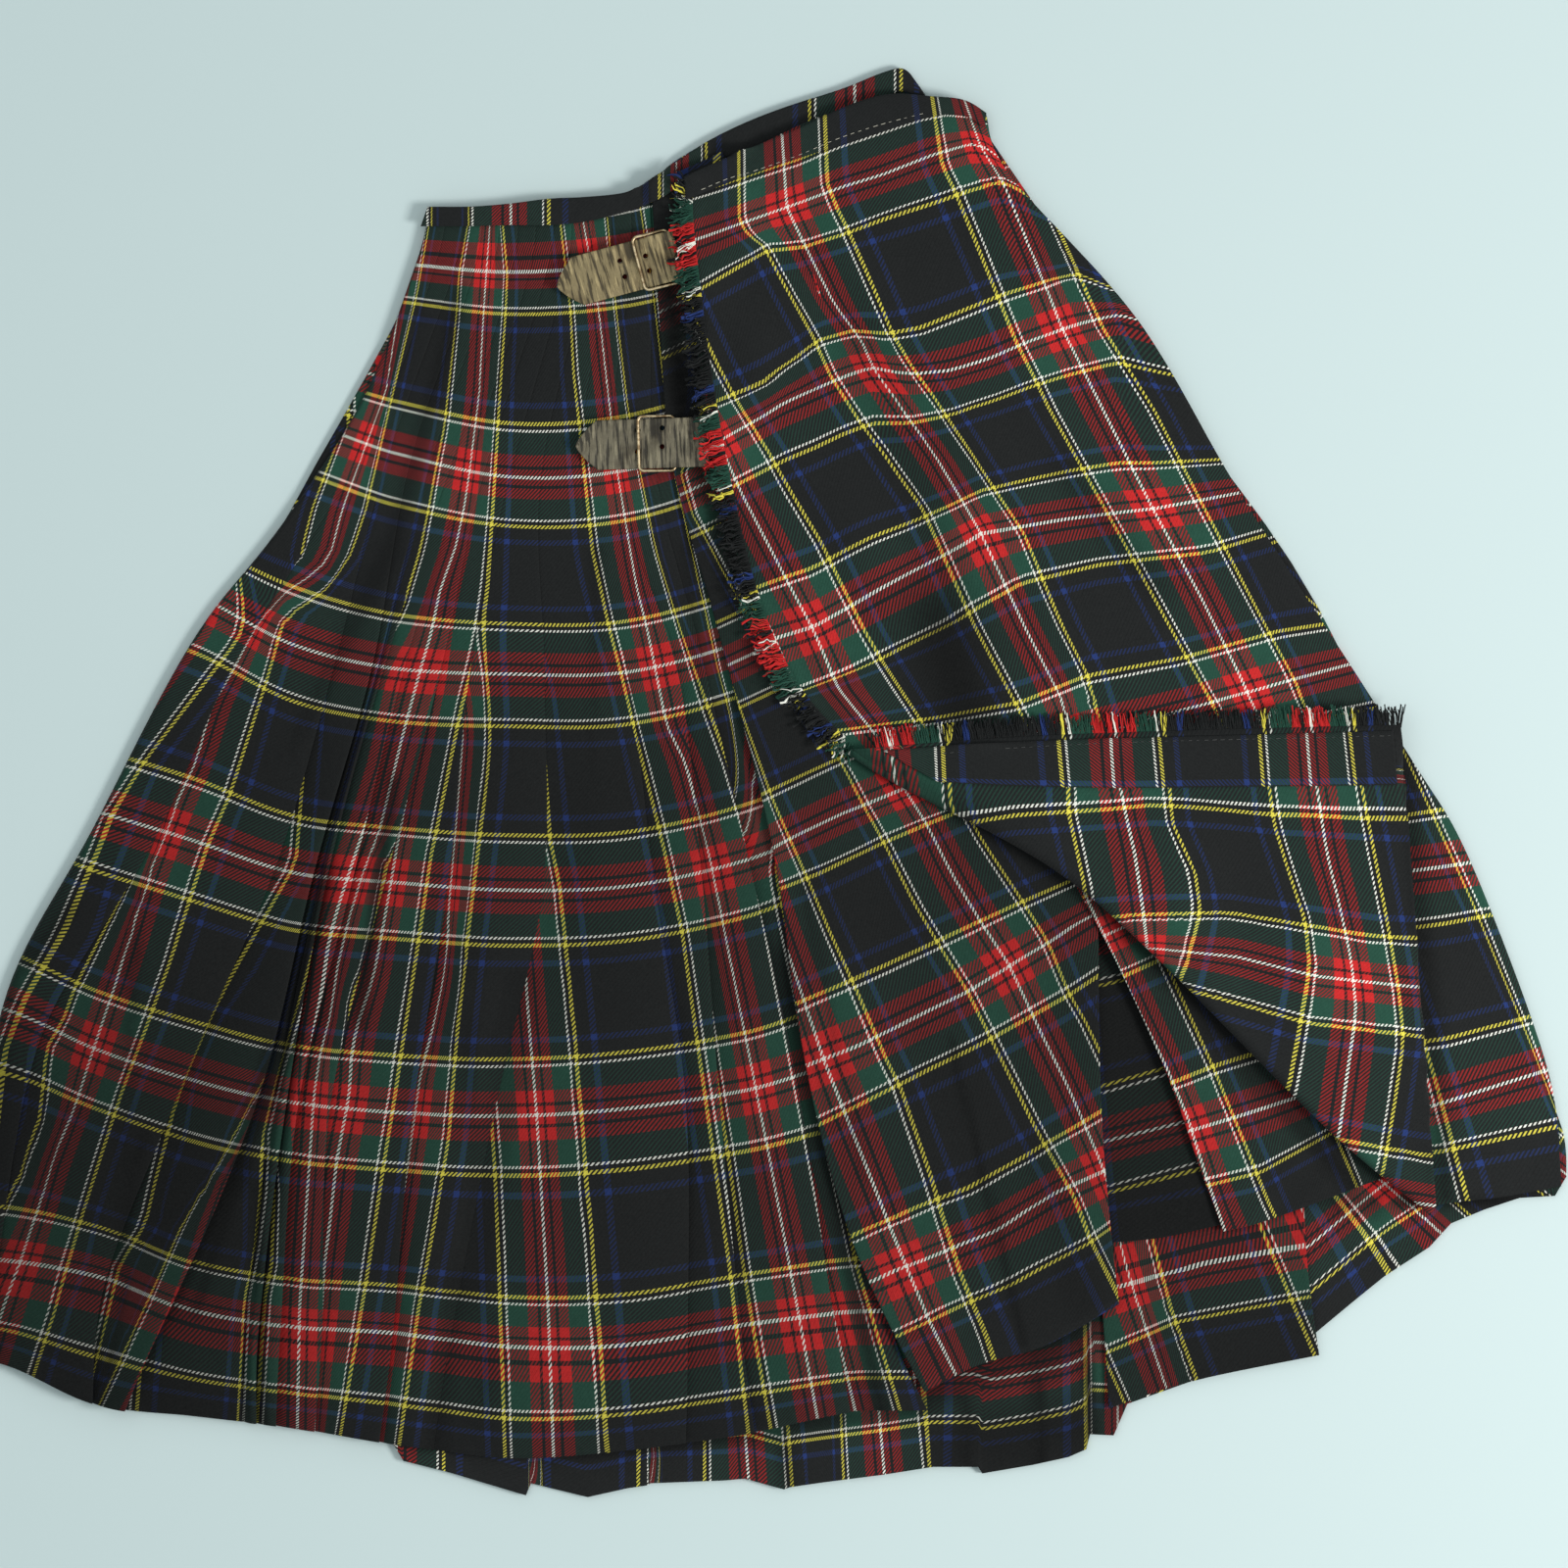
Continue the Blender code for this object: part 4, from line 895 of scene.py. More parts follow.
FOLD_WEFT = [
    (3.768, [(1115, 1000), (1190, 980)]), (4.0, [(1115, 1060), (1190, 1040)]),
    (4.232, [(1115, 1110), (1190, 1090)]), (4.768, [(1130, 1225), (1210, 1200)]),
    (5.0, [(1164, 1307), (1227, 1290), (1293, 1278)]), (5.232, [(1125, 1378), (1200, 1345), (1330, 1320)]),
]
UNDER_WARP = [
    (0.0, [(1122, 947), (1139, 984), (1164, 1038), (1189, 1088), (1210, 1138), (1227, 1192), (1247, 1251)]),
    (0.232, [(1160, 930), (1193, 1001), (1211, 1040), (1235, 1092), (1246, 1120), (1264, 1163),
             (1289, 1226), (1297, 1242)]),
    (0.329, [(1227, 1030), (1277, 1147), (1306, 1213)]),
    (0.768, [(1260, 900), (1300, 1000), (1340, 1100), (1395, 1230)]),
]
UNDER_WEFT = [
    (4.232, [(1143, 992), (1170, 980)]), (4.768, [(1197, 1107), (1235, 1092), (1281, 1078)]),
    (5.0, [(1218, 1151), (1268, 1136), (1318, 1120)]), (5.232, [(1239, 1203), (1285, 1192), (1352, 1155)]),
]
END_CREASES = [
    ((905, 985), (1050, 1375), 7, -0.8), ((960, 980), (1090, 1330), 10, 0.7),
    ((840, 900), (900, 1200), 8, 0.6), ((1040, 900), (1100, 1150), 9, -0.6),
]


# painted shade on the end pleat, the recess, the fold and the under-apron, in their folds and under the
# layers above
END_PAINTED_SHADE = [
    ((680, 285), (688, 345), 11, 0.97), ((688, 345), (700, 440), 9, 0.95), ((700, 430), (740, 560), 6, 0.7),
    ((740, 560), (860, 760), 8, 0.75),
    ((860, 760), (985, 800), 6, 0.6), ((790, 900), (850, 1150), 5, 0.5), ((850, 1150), (930, 1380), 5, 0.4),
    ((1010, 830), (1100, 900), 12, 0.5), ((980, 1330), (1080, 1300), 10, 0.35),
    ((970, 1064), (1045, 1373), 4, 0.7), ((1060, 1180), (1105, 1330), 22, 0.5),
    ((820, 900), (880, 1200), 6, 0.55),
]
RECESS_PAINTED_SHADE = [
    ((1100, 900), (1125, 1260), 16, 0.6), ((1110, 930), (1195, 1100), 12, 0.8),
    ((1110, 860), (1190, 1000), 34, 0.85),
]
FOLD_PAINTED_SHADE = [((1120, 1262), (1250, 1250), 5, 0.6), ((1250, 1250), (1340, 1225), 5, 0.6),
              ((1110, 1260), (1120, 1400), 5, 0.5)]
UNDER_PAINTED_SHADE = [
    ((1100, 880), (1180, 980), 14, 0.7), ((1180, 980), (1290, 1110), 9, 0.7),
    ((1290, 1110), (1400, 1230), 7, 0.7),
    ((1330, 1060), (1450, 1230), 20, 0.6),
]


def under_layer(name, node, rows, counts, sides, stripes, creases=(), gloom=(), shade=0.2, keep_low=0.1):
    """A cloth on its solid: `counts` is the solid's own lattice, so heights match its corners."""
    coarse = on_solid(node, resampled(rows, *counts))
    points = resampled(coarse, counts[0] * 4, counts[1] * 4)
    points[..., 2] -= keep_low
    points = creased(points, creases)
    for side in sides:
        points = folded_side(points, side == "left", 4.0, 1.3)
    weave = np.stack([warp(stripes[0], points), weft(stripes[1], points)], -1)
    # painted shade: at least `shade` all over the layer, deeper near its listed lines
    thing = panel(name, points, weave, wall=0.55, gloom=np.maximum(shade, shadowed(points, gloom)))
    print(name, points.shape)
    return dressed(thing, [node], wool)


end_pleat = under_layer("end_pleat_cloth", "end_pleat", END_PLEAT, (18, 10), ("left", "right"),
                        (END_WARP, END_WEFT), END_CREASES, END_PAINTED_SHADE, 0.34)
under_fold = under_layer("under_apron_fold_cloth", "under_apron_fold", UNDER_FOLD, (12, 7),
                         ("left", "right"), (FOLD_WARP, FOLD_WEFT), (), FOLD_PAINTED_SHADE, 0.4)
under_pleat = under_layer("under_apron_pleat_cloth", "under_apron_pleat", UNDER_PLEAT, (12, 6), (),
                          (RECESS_WARP, RECESS_WEFT), (), RECESS_PAINTED_SHADE, 0.68)
under_apron = under_layer("under_apron_cloth", "under_apron", UNDER_APRON, (24, 9), ("left",),
                          (UNDER_WARP, UNDER_WEFT), [((1190, 1010), (1260, 1200), 8, 0.8)], UNDER_PAINTED_SHADE)

# %% [markdown]
# The over-apron is one cloth too. Its lower left corner is turned back over it, so the
# lattice runs from the right side across the apron, round the roll, and up over the turned
# corner, where the other face of the cloth shows.

# %% Over-apron
OVER_APRON = [
    # left edge to the right side fold; the last rows start at the turned-back fold
    [(348.5, 92), (380, 78), (425, 58), (472, 50.5), (503, 59)],
    [(349.5, 125), (390, 111), (435, 95), (480, 79), (515, 90)],
    [(363.5, 225), (412, 201), (467, 191), (530, 172), (580, 163.5)],
    [(389.5, 325), (447, 295), (505, 271), (570, 262), (632, 251.5)],
    [(434, 382.5), (492, 371), (555, 359), (622, 354), (692, 345)],
    [(529, 432.5), (577, 422), (626, 411), (674, 401), (722, 391)],
    [(586, 478.5), (627, 469), (668, 459), (710, 449), (750, 440)],
    [(678, 570.5), (704, 564), (731, 558), (760, 551), (789, 545)],
    [(731, 614.5), (746, 612.5), (762, 611), (780, 608), (796, 605)],
]
FIRST_TURNED_ROW = 4
TURNED_CORNER = [(434, 382.5, 17), (505, 377, 19), (567, 374, 19), (671, 371, 18), (713, 370, 17)]
ROLL_RADIUS = 5.0
APRON_WARP = [
    (0.0, [(618, 150), (630, 220), (650, 290), (685, 365), (705, 400), (735, 455), (758, 507), (796, 580),
           (830, 644), (855, 703), (905, 765)]),
    (0.232, [(660, 150), (672, 230), (695, 300), (726, 368), (749, 412), (780, 462), (805, 507), (833, 553),
             (855, 598), (878, 644), (896, 675), (955, 765)]),
    (0.768, [(757, 165), (757, 225), (765, 240), (783, 253), (800, 285), (833, 344), (851, 385),
             (883, 435), (900, 457), (945, 520), (980, 600), (998, 640), (1041, 722)]),
    (1.0, [(798, 140), (803, 213), (825, 260), (850, 310), (880, 350), (890, 375), (957, 470),
           (1000, 545), (1045, 640), (1079, 705), (1092, 740)]),
    (1.232, [(838, 130), (840, 190), (850, 215), (860, 235), (880, 280), (905, 340), (925, 375),
             (940, 395), (957, 420), (1040, 545), (1079, 640), (1104, 690), (1114, 730)]),
    (1.768, [(955, 105), (965, 170), (980, 200), (1000, 250), (1020, 300), (1040, 350), (1060, 390),
             (1074, 420), (1135, 530), (1235, 710)]),
    (2.0, [(985, 108), (1000, 150), (1025, 190), (1045, 240), (1065, 290), (1083, 335), (1130, 430),
           (1175, 520), (1225, 612), (1270, 705), (1345, 890), (1405, 1090), (1440, 1230)]),
    (2.232, [(1010, 100), (1030, 160), (1060, 200), (1100, 290), (1120, 335), (1174, 420), (1220, 510),
             (1320, 700), (1405, 924), (1458, 1100), (1472, 1152), (1494, 1235)]),
    (2.671, [(1105, 80), (1400, 725), (1491, 924), (1541, 1035), (1590, 1150)]),
    (2.768, [(1123, 80), (1415, 725), (1505, 924), (1552, 1041), (1575, 1100), (1600, 1169)]),
]
APRON_WEFT = [
    (-0.232, [(702, 204), (738, 193), (771, 181), (816, 167), (854, 150), (896, 136), (938, 122), (966, 117),
              (993, 120), (1004, 125)]),
    (0.0, [(700, 250), (750, 232), (803, 213), (860, 192), (900, 180), (950, 160), (990, 148),
           (1005, 152), (1030, 170)]),
    (0.232, [(720, 290), (745, 275), (783, 252), (820, 250), (860, 238), (900, 222), (980, 195),
             (1020, 182), (1037, 190), (1060, 205)]),
    (0.768, [(740, 412), (780, 395), (835, 352), (870, 342), (905, 347), (940, 340), (1020, 307),
             (1070, 290), (1095, 280), (1120, 290)]),
    (1.0, [(727, 455), (735, 450), (800, 412), (860, 385), (890, 376), (930, 383), (970, 380),
           (1010, 368), (1050, 350), (1085, 337), (1140, 320), (1160, 327)]),
    (2.0, [(779, 655), (830, 640), (900, 600), (1000, 545), (1090, 530), (1175, 520), (1265, 503)]),
    (2.232, [(805, 709), (860, 688), (898, 671), (960, 640), (1041, 592), (1123, 573), (1232, 561),
             (1300, 540)]),
    (2.768, [(840, 748), (950, 736), (1041, 721), (1106, 694), (1206, 675), (1302, 648), (1370, 638)]),
    (3.0, [(868, 800), (1041, 770), (1214, 723), (1379, 677)]),
    (3.232, [(868, 850), (1100, 790), (1341, 732), (1402, 719)]),
    (4.0, [(900, 960), (1100, 925), (1300, 905), (1466, 885), (1500, 880)]),
    (4.768, [(1100, 1110), (1474, 1063), (1547, 1044)]),
    (5.0, [(1100, 1165), (1400, 1145), (1480, 1122), (1569, 1094)]),
    (5.232, [(1100, 1215), (1474, 1169), (1591, 1144)]),
    (5.48, [(1300, 1262), (1474, 1230), (1600, 1208)]),
]
FLAP_WARP = [
    (-0.5, [(900, 735), (1430, 738)]),
    (-0.36, [(870, 735), (900, 752), (950, 778), (1000, 784), (1430, 784)]),
    (0.112, [(870, 740), (900, 757), (950, 783), (1000, 789), (1430, 789)]),
    (0.232, [(900, 850), (975, 838), (1035, 828), (1130, 822), (1170, 818), (1200, 819), (1300, 828),
             (1430, 832)]),
    (0.768, [(1100, 940), (1150, 937), (1250, 934), (1330, 947), (1400, 959), (1460, 961)]),
    (1.0, [(1100, 965), (1170, 966), (1260, 975), (1340, 995), (1460, 1008)]),
    (1.232, [(1185, 997), (1330, 1038), (1460, 1053)]),
    (1.768, [(1360, 1163), (1400, 1172), (1458, 1182)]),
]
FLAP_WEFT = [
    (3.0, [(905, 735), (912, 790), (925, 850)]),
    (3.232, [(962, 735), (965, 820), (975, 840), (990, 880)]),
    (3.768, [(1085, 720), (1092, 800), (1092, 830), (1105, 890)]),
    (4.0, [(1135, 720), (1140, 800), (1155, 870), (1165, 940)]),
    (4.232, [(1180, 720), (1187, 800), (1190, 840), (1213, 890), (1218, 930), (1200, 990)]),
    (4.768, [(1290, 730), (1295, 800), (1300, 840), (1315, 890), (1332, 940), (1337, 985), (1330, 1030),
             (1318, 1100)]),
    (5.0, [(1335, 735), (1340, 800), (1350, 870), (1362, 920), (1375, 980), (1380, 1030), (1370, 1100),
           (1365, 1140)]),
    (5.232, [(1375, 735), (1382, 800), (1395, 870), (1410, 950), (1420, 1010), (1425, 1060),
             (1415, 1130), (1405, 1190)]),
]
APRON_CREASES = [
    ((780, 240), (880, 345), 11, -2.2), ((830, 215), (920, 350), 12, 2.2),
    ((880, 330), (960, 520), 13, -2.4), ((960, 400), (1060, 560), 13, 2.4),
    ((1060, 470), (1160, 600), 10, -2.0), ((1120, 500), (1230, 640), 12, 1.6),
    ((1010, 210), (1080, 330), 9, 1.6), ((930, 170), (990, 260), 10, -1.4),
    ((760, 330), (830, 520), 11, 1.6), ((900, 520), (1000, 690), 12, -1.8),
    ((1050, 600), (1110, 700), 8, 1.6), ((840, 500), (920, 640), 10, 1.2),
]
# painted shade in the over-apron's folds and beside the turned corner
APRON_PAINTED_SHADE = [
    ((730, 470), (860, 740), 5, 0.25), ((880, 360), (1000, 660), 12, 0.3), ((955, 630), (985, 730), 18, 0.75),
    ((1080, 480), (1180, 600), 8, 0.25), ((1430, 740), (1475, 1220), 5, 0.6),
    ((1475, 1220), (1590, 1228), 2, 0.3),
]
# painted shade on the turned corner beside its roll
FLAP_PAINTED_SHADE = [((880, 770), (1000, 850), 8, 0.45), ((1000, 850), (1130, 950), 8, 0.35),
              ((1430, 800), (1455, 1200), 3, 0.25)]
FLAP_CREASES = [
    ((1180, 820), (1215, 1000), 9, 1.1), ((1250, 860), (1280, 1060), 10, -1.0),
    ((1330, 860), (1350, 1110), 11, 1.1), ((1090, 800), (1120, 890), 9, -0.8),
    ((1420, 880), (1440, 1120), 9, -0.8),
]


def turned_apron(rows_each=4, columns=12, roll_columns=12, flap_columns=24):
    """Lattice of the outer face: under the apron, round the roll, over the corner."""
    count = (len(OVER_APRON) - 1) * rows_each
    coarse = resampled(OVER_APRON, count, columns)
    lower = np.array([[(x, y, height("over_apron", x, y, from_above=False)) for x, y in row]
                      for row in coarse])
    fine_rows, fine_columns = count * 4, columns * 4
    main = resampled(lower, fine_rows, fine_columns)
    main[..., 2] += SOLID_WALL - CLOTH
    main = creased(main, APRON_CREASES)
    first = FIRST_TURNED_ROW * rows_each * 4
    corner = np.array(TURNED_CORNER, float)
    fold = main[first:, 0]
    done = np.linspace(0, 1, len(fold))
    way = np.gradient(fold[:, :2], axis=0)
    way /= np.linalg.norm(way, axis=1, keepdims=True)
    outward = np.stack([-way[:, 1], way[:, 0]], -1)
    end = spline_weights(len(corner), done * (len(corner) - 1)) @ corner
    radius = (ROLL_RADIUS - (SOLID_WALL - CLOTH) / 2) * (0.5 + 0.5 * ramp(done, 0.0, 0.25))
    turned = []
    for k in range(1, roll_columns + 1):
        a = math.pi * k / roll_columns
        turned.append(np.column_stack([fold[:, :2] + outward * (radius * math.sin(a))[:, None],
                                       fold[:, 2] + radius * (1 - math.cos(a))]))
    start = turned[-1]
    for k in range(1, flap_columns + 1):
        f = k / flap_columns
        place = start[:, :2] * (1 - f) + end[:, :2] * f
        inward = place + (start[:, :2] - place) * 0.02
        high = [height("over_apron", x, y) for x, y in inward]
        turned.append(np.column_stack([place, high]))
    flap = np.stack(turned, axis=1)
    smooth = flap[:, roll_columns:, 2]
    for _ in range(3):
        smooth[1:-1, 1:-1] = (smooth[1:-1, 1:-1] * 2 + smooth[:-2, 1:-1] + smooth[2:, 1:-1]
                              + smooth[1:-1, :-2] + smooth[1:-1, 2:]) / 6
    flap[:, roll_columns:] = creased(flap[:, roll_columns:], FLAP_CREASES)
    return main, flap, first


def apron_object(main, flap, first):
    """Joins apron, roll and corner into one mesh, with both sets of weave coordinates."""
    rows, columns = main.shape[:2]
    turned = flap.shape[1]
    points = np.concatenate([main.reshape(-1, 3), flap.reshape(-1, 3)])
    weave_main = np.stack([warp(APRON_WARP, main), weft(APRON_WEFT, main)], -1).reshape(-1, 2)
    flap_u = weave_value(FLAP_WARP, flap[..., 1], flap[..., 0], 0)
    flap_v = weave_value(FLAP_WEFT, flap[..., 0], flap[..., 1], 1)
    weave = np.concatenate([weave_main, np.stack([flap_u, flap_v], -1).reshape(-1, 2)])
    index = np.arange(rows * columns).reshape(rows, columns)
    over = np.arange(flap.shape[0] * turned).reshape(-1, turned) + rows * columns
    faces = [(index[r, k], index[r, k + 1], index[r + 1, k + 1], index[r + 1, k])
             for r in range(rows - 1) for k in range(columns - 1)]
    for r in range(first, rows - 1):
        line, below = over[r - first], over[r - first + 1]
        faces.append((line[0], index[r, 0], index[r + 1, 0], below[0]))
        faces += [(line[k + 1], line[k], below[k], below[k + 1]) for k in range(turned - 1)]
    mesh = bpy.data.meshes.new("over_apron_cloth")
    mesh.from_pydata(in_frame(points).tolist(), [], [tuple(int(i) for i in f) for f in faces])
    # painted shade on the apron and on the turned corner
    store_painted_shade(mesh, np.concatenate([shadowed(main, APRON_PAINTED_SHADE).ravel(), shadowed(flap, FLAP_PAINTED_SHADE).ravel()]))
    layer = mesh.uv_layers.new(name="weave")
    seam = set(index[first:, 0].tolist())
    for face in mesh.polygons:
        on_flap = any(i >= rows * columns for i in face.vertices)
        for loop in face.loop_indices:
            corner = mesh.loops[loop].vertex_index
            if on_flap and corner in seam:
                row = (corner - int(index[0, 0])) // columns
                corner = int(over[row - first, 0])
            layer.data[loop].uv = weave[corner]
    bm = bmesh.new()
    bm.from_mesh(mesh)
    bmesh.ops.remove_doubles(bm, verts=bm.verts[:], dist=1e-6)
    bmesh.ops.dissolve_degenerate(bm, edges=bm.edges[:], dist=1e-6)
    bm.to_mesh(mesh)
    bm.free()
    mesh.polygons.foreach_set("use_smooth", [True] * len(mesh.polygons))
    thing = bpy.data.objects.new("over_apron_cloth", mesh)
    bpy.context.scene.collection.objects.link(thing)
    solid = thing.modifiers.new("wall", "SOLIDIFY")
    solid.thickness = CLOTH * METRE
    solid.offset = 1.0
    return thing


apron_main, apron_flap, turned_from = turned_apron()
over_apron = apron_object(apron_main, apron_flap, turned_from)
dressed(over_apron, ["over_apron"], wool)
print("over-apron:", apron_main.shape, apron_flap.shape)

# %% [markdown]
# Narrow bands of the same wool are sewn along the waist, and one along the back of the
# over-apron's frayed edge, which shows on the turned corner. They lie on their solids.

# %% Bands
BANDS = {
    # upper and lower edge
    "waistband_back": (
        [(342, 85), (360, 73), (380, 63), (402, 54.5), (430, 45.5), (450, 37.5), (461, 35.5),
         (468, 43), (473, 50.5)],
        [(345, 94), (362, 84), (384, 76), (405, 67), (433, 57), (451, 50), (461, 47),
         (467, 51), (472, 56)]),
    "waistband_pleats": (
        [(218.5, 106), (240, 106), (260, 104.5), (280, 102), (300, 101), (320, 98.5), (333, 91.5),
         (344, 83)],
        [(215, 116), (238, 116), (260, 115.5), (280, 115.5), (300, 113.5), (320, 108.5), (335, 103),
         (347, 96)]),
    "waistband_apron": (
        [(349, 91.5), (365, 84), (385, 75.5), (408, 66), (432, 55), (453, 49), (475, 50), (492, 52),
         (503, 58.5)],
        [(350, 103.5), (370, 95), (389, 88), (410, 81), (435, 73), (457, 66), (476, 60.5),
         (490, 59.5), (502, 66)]),
    "edge_band": (
        [(450, 383), (500, 379.5), (560, 377), (620, 375.5), (670, 374), (709, 373)],
        [(478, 399), (520, 401), (570, 402), (625, 401.5), (672, 401), (711, 400.5)]),
}
PLEAT_BAND_WARP = [(-0.768, [(440, 215)]), (-0.232, [(480, 215)]), (0.0, [(522, 215)]), (0.232, [(557, 212)]),
                   (0.329, [(577, 212)]), (0.671, [(660, 212)]), (0.768, [(676, 210)]), (1.0, [(692, 190)])]
BACK_BAND_WARP = [(-0.232, [(672, 180)]), (0.0, [(690, 165)]), (0.232, [(718, 145)]), (0.329, [(733, 140)]),
                  (0.671, [(812, 110)]), (0.768, [(829, 105)]), (1.0, [(872, 85)]), (1.232, [(916, 80)])]


def band_cloth(name, weave_of, seam_rows=10):
    upper, lower = BANDS[name]
    coarse = on_solid(name, resampled([upper, lower], 3, 24))
    points = resampled(coarse, seam_rows, 96)
    points[..., 2] -= 0.05
    rounding = np.sin(np.linspace(0, math.pi, seam_rows + 1)) ** 0.4
    points[..., 2] -= 0.5 * (1 - rounding)[:, None]
    thing = panel(name + "_cloth", points, weave_of(points), wall=0.6)
    return dressed(thing, [name], wool)


def down_from_top(points, first, last):
    return np.repeat(np.linspace(first, last, points.shape[0])[:, None], points.shape[1], axis=1)


def edge_stripes(points):
    """Rows of the edge band: black down to one blue stripe beside its seam."""
    down = np.interp(np.linspace(0, 1, points.shape[0]), [0, 0.8, 1], [0.62, 0.346, 0.308])
    return np.repeat(down[:, None], points.shape[1], axis=1)


band_pleats = band_cloth("waistband_pleats", lambda p: np.stack(
    [warp(PLEAT_BAND_WARP, p), down_from_top(p, 0.42, 0.56)], -1))
band_back = band_cloth("waistband_back", lambda p: np.stack(
    [warp(BACK_BAND_WARP, p), down_from_top(p, 0.42, 0.54)], -1))
band_apron = band_cloth("waistband_apron", lambda p: np.stack(
    [warp(APRON_WARP, p), down_from_top(p, -0.62, -0.36)], -1))
band_edge = band_cloth("edge_band", lambda p: np.stack(
    [edge_stripes(p), weave_value(FLAP_WEFT, p[..., 0] + 3, p[..., 1], 1)], -1))
print("bands:", len(BANDS))

# %% [markdown]
# The straps are worn khaki leather. Each has a rounded point, punched holes in pairs, and
# climbs over the hidden bar of its buckle. A buckle is a bent wire frame: one bar crosses
# over the strap and the other passes under it.

# %% Leather and brass finishes
def leather_finish(name, base, dark):
    material, shader, start = new_finish(name, 0.6, Specular_IOR_Level=0.35)
    place = start.made("ShaderNodeTexCoord", None, None, out=3)
    uv = start.made("ShaderNodeUVMap", {"uv_map": "weave"})
    grain = start.noise(place, 600.0, 5.0)
    patch = start.noise(place, 70.0, 4.0)
    stretched = start.made("ShaderNodeVectorMath", {"operation": "MULTIPLY"}, {0: uv, 1: (520.0, 50.0, 1.0)})
    creases = start.noise(stretched, 1.0, 3.0)
    lines = creases.between(0.50, 0.60)
    # ridges: paler crease ridges, a painted highlight where they catch the light; the same ridges are also
    # raised in the bump
    ridges = 1.0 - creases.between(0.36, 0.44)
    worn = patch.between(0.42, 0.7)
    colour = worn.mixed(base, dark)
    colour = (lines * 0.85).mixed(colour, tuple(c * 0.22 for c in dark))
    # painted highlight on the crease ridges
    colour = (ridges * 0.55).mixed(colour, tuple(min(c * 2.1, 1.0) for c in base))
    colour = colour.shaded(0.8 + 0.4 * grain)
    relief = grain * 0.6 - lines * 1.4 + ridges * 0.8
    bump = start.made("ShaderNodeBump", None, {"Strength": 0.6, "Distance": 0.0004, "Height": relief})
    drive(shader, {"Base Color": colour, "Roughness": 0.42 + 0.3 * patch, "Normal": bump})
    return material


def brass_finish():
    material, shader, start = new_finish("worn_brass", 0.3, Metallic=1.0)
    place = start.made("ShaderNodeTexCoord", None, None, out=3)
    spots = start.noise(place, 350.0, 4.0)
    colour = spots.between(0.4, 0.65).mixed(srgb(222, 200, 160), srgb(150, 125, 92))
    drive(shader, {"Base Color": colour, "Roughness": 0.25 + 0.3 * spots})
    return material


khaki = leather_finish("khaki_leather", srgb(140, 124, 88), srgb(104, 88, 58))
grey_khaki = leather_finish("grey_khaki_leather", srgb(112, 104, 84), srgb(76, 68, 52))
brass = brass_finish()

# %% Straps and buckles
STRAP_WIDTH, STRAP_WALL, STRAP_TIP, STRAP_POINT, STRAP_LIFT = 25.4, 2.2, 11.0, 0.7, 0.4
WIRE, BUCKLE_LENGTH, BUCKLE_CORNER, SEAM_GAP = 1.6, 18.5, 2.5, 0.35
STRAPS = {
    # tip, end at the apron, where the buckle's upper bar crosses, holes in photo pixels
    "upper": ((284.5, 147), (346.5, 130.5), 43.0, [(633, 268), (638, 284), (659, 263), (663, 278)]),
    "lower": ((294, 228), (362, 226), 32.0, [(676, 438), (676, 457), (651, 440), (651, 462)]),
}


def strap_place(name, run, across):
    tip, end = (np.array(p, float) for p in STRAPS[name][:2])
    way = (end - tip) / np.linalg.norm(end - tip)
    side = np.array([-way[1], way[0]])
    return tip + way * run + side * across


def strap_leather(name, material):
    tip, end, bar, holes = STRAPS[name]
    node = "strap_" + name
    length = math.dist(tip, end)
    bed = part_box(node)[0].z / METRE
    arch = WIRE + SEAM_GAP + 0.1
    stations = np.concatenate([[0.05, 0.4, 1.0, 2.0, 3.4, 5.0, 7.0, 9.0], np.linspace(11, length, 44)])
    sides = -np.sin(np.linspace(-math.pi / 2, math.pi / 2, 17))
    points = np.zeros((len(stations), len(sides), 3))
    for row, station in enumerate(stations):
        rounding = min(station / STRAP_TIP, 1.0)
        half = STRAP_WIDTH / 2 * rounding ** STRAP_POINT
        lift = (STRAP_LIFT * ramp(station, 2, bar - 4)
                + (arch - STRAP_LIFT) * ramp(station, bar, bar + BUCKLE_LENGTH - 5))
        for k, side in enumerate(sides):
            x, y = strap_place(name, station, half * side)
            points[row, k] = x, y, bed + lift + STRAP_WALL
    edge = np.abs(np.linspace(-1, 1, 17))[None] ** 10
    points[..., 2] -= 0.5 * edge
    run = np.repeat(stations[:, None], len(sides), 1) * METRE
    over = np.repeat(sides[None] * STRAP_WIDTH / 2, len(stations), 0) * METRE
    thing = panel(node + "_leather", points, np.stack([run, over], -1), wall=STRAP_WALL - 0.5)
    for x, y in holes:
        punch = bmesh.new()
        bmesh.ops.create_cone(punch, cap_ends=True, segments=16, radius1=0.0013, radius2=0.0013, depth=0.02)
        bmesh.ops.translate(punch, verts=punch.verts[:], vec=in_frame((x * PHOTO, y * PHOTO, 12.0)))
        tool_mesh = bpy.data.meshes.new("punch")
        punch.to_mesh(tool_mesh)
        punch.free()
        tool = bpy.data.objects.new("punch", tool_mesh)
        bpy.context.scene.collection.objects.link(tool)
        cut = thing.modifiers.new("hole", "BOOLEAN")
        cut.operation, cut.solver, cut.object = "DIFFERENCE", "MANIFOLD", tool
        bpy.context.view_layer.update()
        cut_mesh = bpy.data.meshes.new_from_object(thing.evaluated_get(bpy.context.evaluated_depsgraph_get()))
        thing.modifiers.clear()
        thing.data = cut_mesh
        bpy.data.objects.remove(tool)
    thing.data.materials.clear()
    dressed(thing, [node], material)
    return thing


